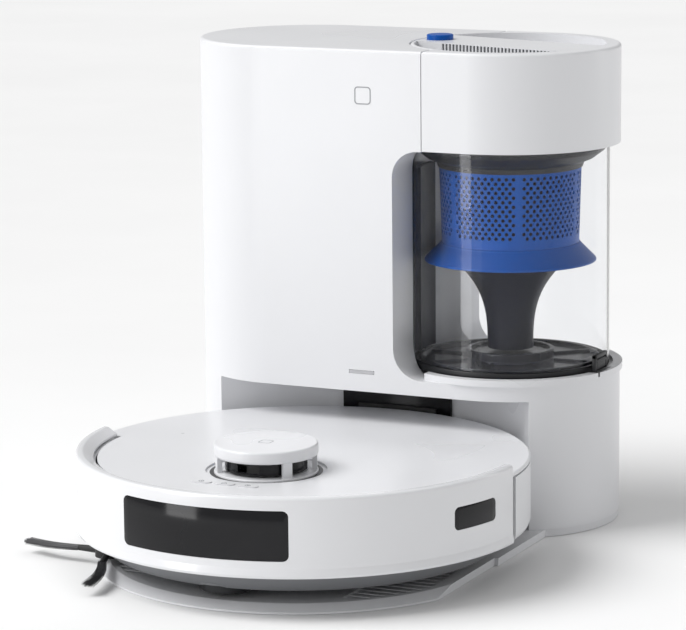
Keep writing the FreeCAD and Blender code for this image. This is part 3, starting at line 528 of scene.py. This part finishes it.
def tuft_tree():
    """Bristles scattered across a tuft, each leaning and curving a little differently."""
    make = Nodes("tuft_of_bristles", [("Source", "NodeSocketObject", None), ("Count", "NodeSocketInt", 60),
                                      ("Spread", "NodeSocketFloat", 0.002), ("Lean", "NodeSocketFloat", 0.05),
                                      ("Seed", "NodeSocketInt", 1), ("Material", "NodeSocketMaterial", None)])
    points = make.add("GeometryNodeMeshLine", {"Count": make.input("Count"), "Offset": (0.0, 0.0, 0.0)})
    size = make.input("Spread")
    less = make.math("MULTIPLY", size, -1.0)
    low = make.add("ShaderNodeCombineXYZ", {"Y": less, "Z": make.math("MULTIPLY", less, 0.6)})
    high = make.add("ShaderNodeCombineXYZ", {"Y": size, "Z": make.math("MULTIPLY", size, 0.6)})
    spot = make.add("FunctionNodeRandomValue",
                    {"Min": low.outputs[0], "Max": high.outputs[0], "Seed": make.input("Seed")},
                    data_type="FLOAT_VECTOR")
    there = make.add("GeometryNodeSetPosition", {"Geometry": points.outputs[0], "Position": spot.outputs[0]})
    tip = make.input("Lean")
    back = make.math("MULTIPLY", tip, -1.0)
    flat_low = make.add("ShaderNodeCombineXYZ", {"Y": make.math("MULTIPLY", back, 0.3), "Z": back})
    flat_high = make.add("ShaderNodeCombineXYZ", {"Y": make.math("MULTIPLY", tip, 0.3), "Z": tip})
    turn = make.add("FunctionNodeRandomValue", {"Min": flat_low.outputs[0], "Max": flat_high.outputs[0],
                                                "Seed": make.math("ADD", make.input("Seed"), 7.0)},
                    data_type="FLOAT_VECTOR")
    source = make.add("GeometryNodeObjectInfo", {"Object": make.input("Source")})
    copies = make.add("GeometryNodeInstanceOnPoints",
                      {"Points": there.outputs[0], "Instance": source.outputs["Geometry"],
                                                       "Rotation": turn.outputs[0]})
    make.finish(copies.outputs[0])
    return make.tree


TREES = {}


# ---------- pieces ----------

BIN = (88.5, 203.0)
TURRET = (0.0, -61.4)
TURRET_TOP = 105.4
PILLARS = (-39.0, -141.0, 25.0, 155.0)
SIDE_BRUSH = (-126.0, -78.0)


def paint_frame():
    """Give every CAD node the finish of its slot."""
    slots = {part["node"]: part["material_slot"] for part in frame["record"]["subparts"]}
    for name, thing in NODES.items():
        thing.data.materials.clear()
        # The chassis takes the mid grey of painted shade instead of its slot's finish
        finish = {"chassis": "pan_painted_shade_grey"}.get(name, slots[name])
        thing.data.materials.append(MATERIALS[finish])


def make_screen():
    """Perforated screen: staggered rows of holes in six panels with a plain rib between them."""
    looks = bpy.context.scene.bin_looks
    low, high = 223.0, 283.0
    rows_low, rows_high = 230.4, 281.0
    step = (rows_high - rows_low) / looks.rows
    radius_low, taper = 54.7, 0.03
    pitch = math.tau * 55.6 / looks.panels / 10.5
    hole = looks.hole_radius / MM
    skin = 1.2
    bm = bmesh.new()

    def quad(x0, x1, y0, y1):
        bm.faces.new([bm.verts.new(Vector(p) * MM)
                      for p in ((x0, y0, 0), (x1, y0, 0), (x1, y1, 0), (x0, y1, 0))])

    def cell(x0, x1, y0, y1):
        middle = Vector(((x0 + x1) / 2, (y0 + y1) / 2, 0))
        sides = 12
        outer, inner, deep = [], [], []
        for i in range(sides):
            angle = math.tau * (i + 0.5) / sides
            way = Vector((math.cos(angle), math.sin(angle), 0))
            reach = min((x1 - x0) / 2 / max(abs(way.x), 1e-6), (y1 - y0) / 2 / max(abs(way.y), 1e-6))
            outer.append(bm.verts.new((middle + way * reach) * MM))
            inner.append(bm.verts.new((middle + way * hole) * MM))
            deep.append(bm.verts.new((middle + way * hole - Vector((0, 0, skin))) * MM))
        for i in range(sides):
            k = (i + 1) % sides
            bm.faces.new((outer[i], outer[k], inner[k], inner[i]))
            bm.faces.new((inner[i], inner[k], deep[k], deep[i]))
        for sx, sy in ((1, 1), (-1, 1), (-1, -1), (1, -1)):
            point = Vector((middle.x + sx * (x1 - x0) / 2, middle.y + sy * (y1 - y0) / 2, 0)) * MM
            near = sorted(outer, key=lambda v: (v.co - point).length)[:2]
            bm.faces.new((near[0], near[1], bm.verts.new(point)))

    for row in range(looks.rows):
        y0 = rows_low + step * row - low
        margin = 0.25 if row % 2 else 0.75
        count = 10 if row % 2 else 9
        for k in range(count):
            cell(pitch * (margin + k), pitch * (margin + k + 1), y0, y0 + step)
        for x0, x1 in ((0, margin), (margin + count, 10.5)):
            quad(pitch * x0, pitch * x1, y0, y0 + step)
    strips = 14
    for i in range(strips):
        x0, x1 = pitch * 10.5 * i / strips, pitch * 10.5 * (i + 1) / strips
        quad(x0, x1, 0, rows_low - low)
        quad(x0, x1, rows_high - low, high - low)
    mesh = bpy.data.meshes.new("panel")
    bmesh.ops.recalc_face_normals(bm, faces=bm.faces)
    bm.to_mesh(mesh)
    bm.free()
    panel = bpy.data.objects.new("panel", mesh)
    bpy.context.scene.collection.objects.link(panel)
    screen = grown("screen", TREES["wrap"], source=panel, count=looks.panels, pitch=pitch * 10.5 * MM,
                   radius=radius_low * MM, taper=taper, turn=math.radians(-61.0),
                   centre=(BIN[0] * MM, BIN[1] * MM, low * MM), material=MATERIALS["blue"])
    finished(screen, "screen_perforated", "canister", "blue", "mesh_filter")
    # Near-black sheet right behind the holes: painted shade of the screen's hollow inside
    liner = turned("liner", [(52.6, 224), (53.3, 224), (54.6, 282), (53.9, 282)], BIN, 96)
    finished(liner, "screen_liner", "canister", "dark_navy", material=MATERIALS["liner_painted_shade"])


def make_bin():
    """Clear wall, funnel collar, skirt, cyclone tube, floor dish and flange."""
    wall = [(76.6, 130.2, 0.3), (79, 130.2, 0.5), (79, 302.7), (76.6, 302.7)]
    finished(turned("wall", corner_arcs(wall), BIN, 192), "bin_clear_wall", "canister", "clear_bin",
             "bin_wall")
    collar = [(76.4, 302.6), (76.4, 299.4, 0.8), (74.6, 296.8, 2), (66.5, 290.5, 9), (58.9, 287.4, 3),
              (57.6, 283.1, 0.6),
              (54, 283.1), (54, 290), (64, 296), (72, 302.6)]
    finished(turned("collar", corner_arcs(collar), BIN, 160), "collar_funnel", "canister", "dark_plastic",
             "bin_collar")
    skirt = [(55.2, 223, 1.2), (56.4, 221.2, 1.5), (68.1, 209.6, 1.2), (68.4, 207.8, 0.6),
             (66.8, 207.8, 0.4), (55.2, 219), (53, 222.9)]
    finished(turned("skirt", corner_arcs(skirt), BIN, 160), "skirt_flare", "canister", "blue", "mesh_skirt")
    start, end, rise = 137.4, 209.0, 60.5
    outer = []
    for i in range(25):
        height = start + (end - start) * i / 24
        outer.append((18.3 + 17.1 * ((height - start) / rise) ** 3, height))
    inner = [(radius - 1.4, height) for radius, height in reversed(outer)]
    finished(turned("horn", outer + inner, BIN, 96), "cyclone_horn", "canister", "dark_navy", "cyclone_tube")
    flange = [(73.9, 124.1, 0.5), (79.1, 124.1, 1.2), (79.1, 129.9, 0.8), (73.9, 129.9, 0.8)]
    ring = turned("flange", corner_arcs(flange), BIN, 160)
    notch = block("notch", (2, 195.5, 120), (18, 210.5, 140))
    carved(ring, notch)
    ears = [block("ear", (167.9, y, 126.0), (171.3, y + 2.2, 139.4)) for y in (177.4, 200.4)]
    ears.append(block("hood", (168.0, 177.4, 136.3), (171.3, 202.6, 139.4)))
    pins = [rod_y("pin", 1.5, 12.9, 127.2, 194, 212), rod_y("pin", 1.0, 169.7, 133.4, 178, 202.4)]
    whole = joined("flange_all", ring, *[bevelled(ear, 0.5, 2) for ear in ears], *pins)
    finished(whole, "bottom_flange", "canister", "dark_plastic", "floor_seal")


def rod_y(name, radius, x, z, low, high):
    """A round bar along Y."""
    rod = turned(name, [(0, low), (radius, low), (radius, high), (0, high)], (0, 0), 24)
    turn = Matrix.Rotation(math.radians(-90), 4, "X")
    rod.data.transform(Matrix.Translation(Vector((x, 0, z)) * MM) @ turn)
    return rod


def make_bin_floor():
    """Smoke-tinted dish with a raised ring, radial ribs and its hinge lug."""
    dish = [(0, 126.1), (70.5, 126.1, 1), (71.9, 127.5, 1), (71.9, 131.2, 0.6), (69.8, 131.2, 0.5),
            (67.5, 128.6, 2),
            (37.2, 128.6, 1), (35.2, 130.2, 1), (35.2, 136.9, 1.2), (31.5, 136.9, 0.6), (31.0, 134.6, 0.6),
            (0, 134.6)]
    plate = turned("dish", corner_arcs(dish), BIN, 160)
    lug = joined("lug", rod_y("lug_round", 2.75, 12.9, 127.2, 196.2, 209.8),
                 block("lug_arm", (12.9, 196.2, 126.2), (19, 209.8, 130)))
    rib = block("rib", (37.5, -0.6, 128.4), (69, 0.6, 130.4))
    ribs = grown("ribs", TREES["ring"], source=rib, count=8, centre=(BIN[0] * MM, BIN[1] * MM, 0.0),
                 material=MATERIALS["smoke_floor"])
    finished(joined("floor", plate, lug, ribs), "floor_dish", "bin_floor", "smoke_floor", "bin_floor")


def make_latch():
    """Black latch lever with its barrel and two thumb ridges."""
    plate = bevelled(block("plate", (168.1, 180.2, 127.4), (171.2, 199.8, 135.4)), 0.8)
    barrel = rod_y("barrel", 1.85, 169.7, 133.4, 180.2, 199.8)
    ridge = block("ridge", (170.9, 183, 128.6), (171.28, 197, 129.2))
    ridges = grown("ridges", TREES["row"], source=ridge, count=3, start=(0.0, 0.0, 0.0),
                   step=(0.0, 0.0, 0.0013),
                   turn=(0.0, 0.0, 0.0), material=MATERIALS["dark_plastic"])
    finished(joined("latch", plate, barrel, ridges), "latch_lever", "bin_latch", "dark_plastic", "bin_latch")


def sector_block(name, outline, reach):
    """A block from the robot's axis outwards along -Y, with a rounded front face outline in X and Z."""
    thing = prism(name, outline, 150.0, reach)
    thing.data.transform(Matrix.Rotation(math.radians(90), 4, "X"))
    return thing


def window_outline(half, low, high, radius):
    return [tuple(p) for p in corner_arcs([(-half, low, radius), (half, low, radius), (half, high, radius),
                                           (-half, high, radius)], 8)]


def bumper_openings(grow):
    front = sector_block("front", window_outline(66.7 + grow, 44 - grow, 81 + grow, 4.5), 190.0)
    sides = []
    for turn in (90 - 17.7, -(90 - 17.7)):
        side = sector_block("side", window_outline(22.8 + grow, 55.3 - grow, 72.4 + grow, 4), 190.0)
        side.data.transform(Matrix.Rotation(math.radians(turn), 4, "Z"))
        sides.append(side)
    return front, sides


def intersected(thing, other):
    cut = thing.modifiers.new("keep", "BOOLEAN")
    cut.operation = "INTERSECT"
    cut.solver = "EXACT"
    cut.object = other
    baked(thing)
    bpy.data.objects.remove(other)
    return thing


def slimmed(thing):
    """Draw the bumper's left flank in a little, towards the cover's edge."""
    inner = 158.6 * MM
    for vert in thing.data.vertices:
        reach = math.hypot(vert.co.x, vert.co.y)
        share = max(0.0, -vert.co.x / reach) ** 2
        factor = (inner + (reach - inner) * (1 - 0.235 * share)) / reach
        vert.co.x *= factor
        vert.co.y *= factor
    return thing


def make_bumper():
    """Front half ring with its raised rim, lower lip and three dark windows."""
    skin = [(172.2, 31.2, 0.3), (175.6, 31.2, 0.6), (176.1, 33.2, 0.8), (175.5, 36.4, 1.4),
            (175.0, 38.4, 1.5),
            (175.0, 90.9, 2.6), (168.5, 90.9, 5.0), (158.6, 85.9, 0.5), (158.6, 84.0, 0.4),
            (168.4, 87.6, 2), (172.2, 87.0, 2)]
    reach = math.degrees(math.asin(4.1 / 175))
    ring = turned("bumper", corner_arcs(skin, 5), (0, 0), 240, (180 + reach, 360 - reach))
    front, sides = bumper_openings(0.12)
    finished(slimmed(carved(ring, front, *sides)), "bumper_shell", "bumper", "white_bumper", "bumper")
    front, sides = bumper_openings(-0.05)
    glass = [(172.6, 40.0), (174.85, 40.0), (174.85, 85.0), (172.6, 85.0)]
    pane = intersected(turned("pane", glass, (0, 0), 96, (240, 300)), front)
    finished(bevelled(pane, 0.35, 2), "window_front", "bumper", "black_gloss", "front_window",
             material=MATERIALS["front_glass"])
    panes = []
    for side, arc in zip(sides, ((320, 365), (175, 220))):
        panes.append(bevelled(intersected(turned("pane", glass, (0, 0), 72, arc), side), 0.35, 2))
    finished(slimmed(joined("panes", *panes)), "windows_side", "bumper", "black_gloss", "side_windows")


def make_underside():
    """Dark skirt round the caster and the round release button's crowned top."""
    skirt = corner_arcs([(17.7, 10.0, 0.5), (19.5, 10.0, 0.5), (20.5, 16.4), (17.7, 16.4)])
    finished(turned("skirt", skirt, (0, -128), 64), "caster_skirt", "robot", "dark_plastic")
    crown = corner_arcs([(0, 374), (10.65, 374), (10.65, 384.4, 1.3), (9.4, 384.75, 1.5), (0, 385.0)])
    finished(turned("crown", crown, (26, 208), 64), "button_crown", "release_button", "blue",
             "release_button")


def make_cover_trim():
    """White shelf under the running gap between cover and bumper, and the marks on the three keys."""
    shelf = [(157.0, 82.0), (157.6, 82.9), (168.6, 82.9), (168.6, 82.0)]
    reach = math.degrees(math.asin(6.0 / 165))
    finished(turned("shelf", shelf, (0, 0), 120, (180 + reach, 360 - reach)), "gap_shelf", "robot",
             "white_shell")
    for word, x in (("left", -26), ("centre", -7), ("right", 12)):
        body = "key_" + word
        outer = [(2.2, 84.95), (2.2, 85.12), (1.7, 85.12), (1.7, 84.95)]
        spot = (x, -116.5)
        parts = [turned("ring", outer, spot, 32)] if word != "centre" else []
        if word == "left":
            parts.append(block("bar", (x - 0.25, -116.2, 84.95), (x + 0.25, -113.6, 85.14)))
        if word == "centre":
            house = [(x - 2, -118.4), (x + 2, -118.4), (x + 2, -116.0), (x, -114.2), (x - 2, -116.0)]
            inside = [(x - 1.5, -117.9), (x + 1.5, -117.9), (x + 1.5, -116.2), (x, -114.9), (x - 1.5, -116.2)]
            parts.append(carved(prism("house", house, 84.95, 85.12), prism("inside", inside, 84.9, 85.3)))
        if word == "right":
            parts.append(turned("dot", [(0, 84.95), (0.7, 84.95), (0.7, 85.12), (0, 85.12)], spot, 20))
        finished(joined("mark", *parts), "key_mark_" + word, body, "light_lens",
                 material=MATERIALS["mark_grey"])


def make_turret():
    """Cap and cage of the turret: two wide front pillars, two rear ones and a dark running gap."""
    top = TURRET_TOP
    spot = TURRET
    cap = turned("cap", corner_arcs([(0, 96.2), (38.4, 96.2, 0.6), (39.1, 97.5, 1), (39.1, top - 0.05, 1.8),
                                     (0, top - 0.05)]), spot, 96)
    plinth = turned("plinth", corner_arcs([(34, 79.2), (39.1, 79.2), (39.1, 84.6, 0.8), (33, 84.6)]), spot,
                    96)
    posts = []
    for angle in PILLARS:
        wide = [(34.4, 84.3), (38.2, 84.3), (38.2, 96.6), (34.4, 96.6)]
        posts.append(turned("post", wide, spot, 10, (angle - 5.5, angle + 5.5)))
    stub = turned("stub", [(4.1, 79.2), (33.9, 79.2), (33.9, 84.4), (4.1, 84.4)], spot, 96)
    finished(joined("turret", cap, plinth, stub, *posts), "turret_cap_cage", "robot", "white_shell",
             "turret_cage")
    # Thin dark ring at the gap's floor: painted shade of the running gap
    gap = [(39.2, 82.4), (39.2, 83.0), (42.4, 83.0), (42.4, 82.4)]
    finished(turned("gap", gap, spot, 96), "turret_gap", "cover", "dark_plastic")


def square_mark(name, half, width, low, high):
    """A rounded square outline lying flat."""
    outer = corner_arcs([(-half, -half, half * 0.4), (half, -half, half * 0.4), (half, half, half * 0.4),
                         (-half, half, half * 0.4)])
    small = half - width
    inner = corner_arcs([(-small, -small, small * 0.36), (small, -small, small * 0.36),
                         (small, small, small * 0.36),
                         (-small, small, small * 0.36)])
    return carved(prism(name, outer, low, high), prism("hole", inner, low - 1, high + 1))


def make_marks():
    """Plain rounded squares where a printed mark would be."""
    mark = square_mark("mark", 7.0, 0.9, 0.0, 0.2)
    placed(mark, Matrix.Translation(Vector((0.0, 115.55, 344.5)) * MM) @ Matrix.Rotation(math.radians(90),
                                                                                         4, "X"))
    finished(mark, "tower_mark", "station", "light_lens", material=MATERIALS["mark_grey"])
    mark = square_mark("mark", 5.0, 0.8, TURRET_TOP - 0.1, TURRET_TOP)
    placed(mark, Matrix.Translation(Vector((0, -61.4, 0)) * MM))
    finished(mark, "turret_mark", "robot", "light_lens", material=MATERIALS["mark_grey"])


def make_head_grille():
    """Upright ribs in front of a dark strip, on the wall below the handle's front edge."""
    here = Matrix.Translation(Vector((*BIN, 0)) * MM) @ Matrix.Rotation(math.radians(-14), 4, "Z")
    # Grey strip behind the ribs: painted shade inside the slots
    strip = block("strip", (-45, -30.35, 365.2), (64, -30.02, 380.0))
    finished(placed(strip, here), "grille_dark", "canister", "dark_plastic", material=MATERIALS["vent_painted_shade_grey"])
    rib = bevelled(block("rib", (-0.75, -31.5, 365.2), (0.75, -30.3, 380.0)), 0.25, 1)
    ribs = grown("ribs", TREES["row"], source=rib, count=33, start=(-0.0445, 0.0, 0.0),
                 step=(0.0034, 0.0, 0.0),
                 turn=(0.0, 0.0, 0.0), material=MATERIALS["white_shell"])
    rails = [block("rail", (-46, -31.5, low), (65, -30.02, high)) for low,
             high in ((364.2, 365.8), (379.8, 380.45))]
    finished(placed(joined("ribs_all", ribs, *rails), here), "grille_ribs", "canister", "white_shell")


def make_tread_ribs():
    """Thin light ribs on the plate's two grip patches."""
    rows = []
    for side in (-1, 1):
        for i in range(12):
            y = -99.5 + 9 * i
            far = min(130.5, math.sqrt(142.5 ** 2 - y * y))
            if far < 86:
                continue
            rib = bevelled(block("rib", (85.0, y - 0.7, 5.2), (far, y + 0.7, 6.0)), 0.3, 1)
            if side < 0:
                placed(rib, Matrix.Rotation(math.pi, 4, "Z"))
                rib.data.transform(Matrix.Translation(Vector((0, 2 * y, 0)) * MM))
            rows.append(rib)
    finished(joined("grip", *rows), "grip_ribs", "station", "plate_white", "tread_strips",
             material=MATERIALS["white_shell"])


def make_side_brush():
    """Three tufts of nylon bristles that sweep back a little."""
    sizes = bpy.context.scene.brush_sizes
    tufts = []
    for number, angle in enumerate((-72, 168, 48)):
        bm = bmesh.new()
        rings = []
        for i in range(7):
            along = i / 6
            centre = Vector((30 + 54 * along, 3.2 * math.sin(math.pi * along), 11 - 2.4 * along))
            size = 0.16 * (1 - 0.55 * along)
            ring = []
            for k in range(4):
                turn = math.tau * k / 4
                ring.append(bm.verts.new((centre + Vector((0, math.cos(turn), math.sin(turn))) * size) * MM))
            rings.append(ring)
        for near, far in zip(rings, rings[1:]):
            for k in range(4):
                bm.faces.new((near[k], near[(k + 1) % 4], far[(k + 1) % 4], far[k]))
        bm.faces.new(rings[0])
        bm.faces.new(rings[-1])
        hair = mesh_object("hair", bm)
        tuft = grown("tuft", TREES["tuft"], source=hair, count=sizes.hairs * 4, spread=0.0024, lean=0.035,
                     seed=11 + number, material=MATERIALS["bristle"])
        where = Matrix.Translation(Vector((*SIDE_BRUSH, 0)) * MM) @ Matrix.Rotation(math.radians(angle), 4,
                                                                                    "Z")
        tufts.append(placed(tuft, where))
    finished(joined("tufts", *tufts), "side_brush_tufts", "side_brush", "bristle", "side_brush_bristles")


def area_light(name, spot, target, size, power, tint=(1, 1, 1)):
    lamp = bpy.data.lights.new(name, "AREA")
    lamp.shape = "RECTANGLE"
    lamp.size, lamp.size_y = size
    lamp.energy = power
    lamp.color = tint
    thing = bpy.data.objects.new(name, lamp)
    bpy.context.scene.collection.objects.link(thing)
    thing.location = spot
    way = Vector(target) - Vector(spot)
    thing.rotation_euler = way.to_track_quat("-Z", "Y").to_euler()
    return thing


AIR_STRENGTH = 0.44
KEY_STRENGTH, KEY_SPREAD, KEY_WAY = 2.3, math.radians(38), (0.70, 0.36, -0.95)
FLOOR_HALF, FLOOR_DROP = 12, 0.0004


def make_stage():
    """Paper floor, white air, a soft key sun, a fill strip, a reflected band, a rim strip and the camera."""
    sizes = bpy.context.scene.stage_sizes
    bm = bmesh.new()
    bmesh.ops.create_grid(bm, x_segments=1, y_segments=1, size=FLOOR_HALF)
    floor = mesh_object("studio_floor", bm)
    floor.location = (0, 0, -FLOOR_DROP)
    paper = Shader("studio_paper")
    paper.set(Roughness=0.9)
    paper.feed(paper.ramp(paper.noise(2.0), (0.90, 0.90, 0.90), (0.93, 0.93, 0.93)), "Base Color")
    floor.data.materials.append(paper.material)
    world = bpy.data.worlds.new("studio_air")
    world.use_nodes = True
    world.node_tree.nodes["Background"].inputs["Color"].default_value = (1.0, 1.0, 1.0, 1)
    world.node_tree.nodes["Background"].inputs["Strength"].default_value = AIR_STRENGTH
    bpy.context.scene.world = world
    bpy.context.scene.view_settings.view_transform = "Standard"
    lamp = bpy.data.lights.new("key_sun", "SUN")
    lamp.energy = KEY_STRENGTH
    lamp.angle = KEY_SPREAD
    sun = bpy.data.objects.new("key_sun", lamp)
    bpy.context.scene.collection.objects.link(sun)
    sun.rotation_euler = Vector(KEY_WAY).to_track_quat("-Z", "Y").to_euler()
    area_light("strip_left", (-0.66, -1.22, 0.55), (0.06, 0.2, 0.22), (1.0, 1.3), 4.0).visible_glossy = False
    area_light("band_left", (-0.62, -1.02, 0.42), (0.0885, 0.203, 0.25), (0.34, 1.2),
               6).visible_diffuse = False
    area_light("rim_right", (1.5, 1.3, 0.8), (0.15, 0.2, 0.25), (0.35, 1.2), 3.5)
    camera = bpy.data.cameras.new("camera")
    camera.lens = sizes.lens
    camera.sensor_width = 36
    thing = bpy.data.objects.new("camera", camera)
    bpy.context.scene.collection.objects.link(thing)
    turn = Matrix.Rotation(sizes.yaw, 4, "Z") @ Matrix.Rotation(math.pi / 2 - sizes.pitch, 4, "X")
    thing.matrix_world = Matrix.Translation(sizes.eye) @ turn @ Matrix.Rotation(sizes.roll, 4, "Z")
    bpy.context.scene.camera = thing


def operator(name, label, text, *steps):
    """An operator that runs its steps in order."""
    def execute(self, context):
        for step in steps:
            step()
        return {"FINISHED"}
    return type("VACUUM_OT_" + name, (bpy.types.Operator,), {
        "bl_idname": "vacuum." + name, "bl_label": label, "__doc__": text, "execute": execute})


OPERATORS = [
    operator("frame_finish", "Finish the frame", "Give every carried-over part its finish", paint_frame),
    operator("screen", "Perforated screen", "Build the blue screen and its liner", make_screen),
    operator("bin", "Clear bin", "Build the clear bin and what it holds", make_bin, make_bin_floor,
             make_latch),
    operator("bumper", "Bumper", "Build the bumper and its dark windows", make_bumper),
    operator("under", "Skirt and button", "Build the caster's skirt and the button's crown", make_underside),
    operator("turret", "Turret", "Build the turret's cap and cage", make_turret),
    operator("trim", "Trim and marks", "Build the shelf, key marks and plain printed marks",
             make_cover_trim, make_marks),
    operator("grille", "Head grille", "Build the ribbed wall below the handle", make_head_grille),
    operator("grip", "Grip ribs", "Build the thin ribs on the base plate", make_tread_ribs),
    operator("brush", "Side brush", "Build the tufts of the side brush", make_side_brush),
    operator("stage", "Studio", "Build the floor, lights and camera", make_stage),
]


class VACUUM_PT_panel(bpy.types.Panel):
    """Buttons for each group of pieces"""
    bl_label = "Robot vacuum"
    bl_idname = "VACUUM_PT_panel"
    bl_space_type = "VIEW_3D"
    bl_region_type = "UI"
    bl_category = "Robot vacuum"

    def draw(self, context):
        for tool in OPERATORS:
            self.layout.operator(tool.bl_idname)


CLASSES = [CasingLooks, BinLooks, BrushSizes, StageSizes, *OPERATORS, VACUUM_PT_panel]


def register():
    for kind in CLASSES:
        bpy.utils.register_class(kind)
    bpy.types.Scene.casing_looks = PointerProperty(type=CasingLooks)
    bpy.types.Scene.bin_looks = PointerProperty(type=BinLooks)
    bpy.types.Scene.brush_sizes = PointerProperty(type=BrushSizes)
    bpy.types.Scene.stage_sizes = PointerProperty(type=StageSizes)


def unregister():
    for name in ("casing_looks", "bin_looks", "brush_sizes", "stage_sizes"):
        delattr(bpy.types.Scene, name)
    for kind in reversed(CLASSES):
        bpy.utils.unregister_class(kind)


def main():
    register()
    MATERIALS.update(make_materials())
    TREES.update(ring=ring_tree(), row=row_tree(), wrap=wrap_tree(), tuft=tuft_tree())
    for tool in OPERATORS:
        group, name = tool.bl_idname.split(".")
        getattr(getattr(bpy.ops, group), name)()


if __name__ == "__main__":
    main()
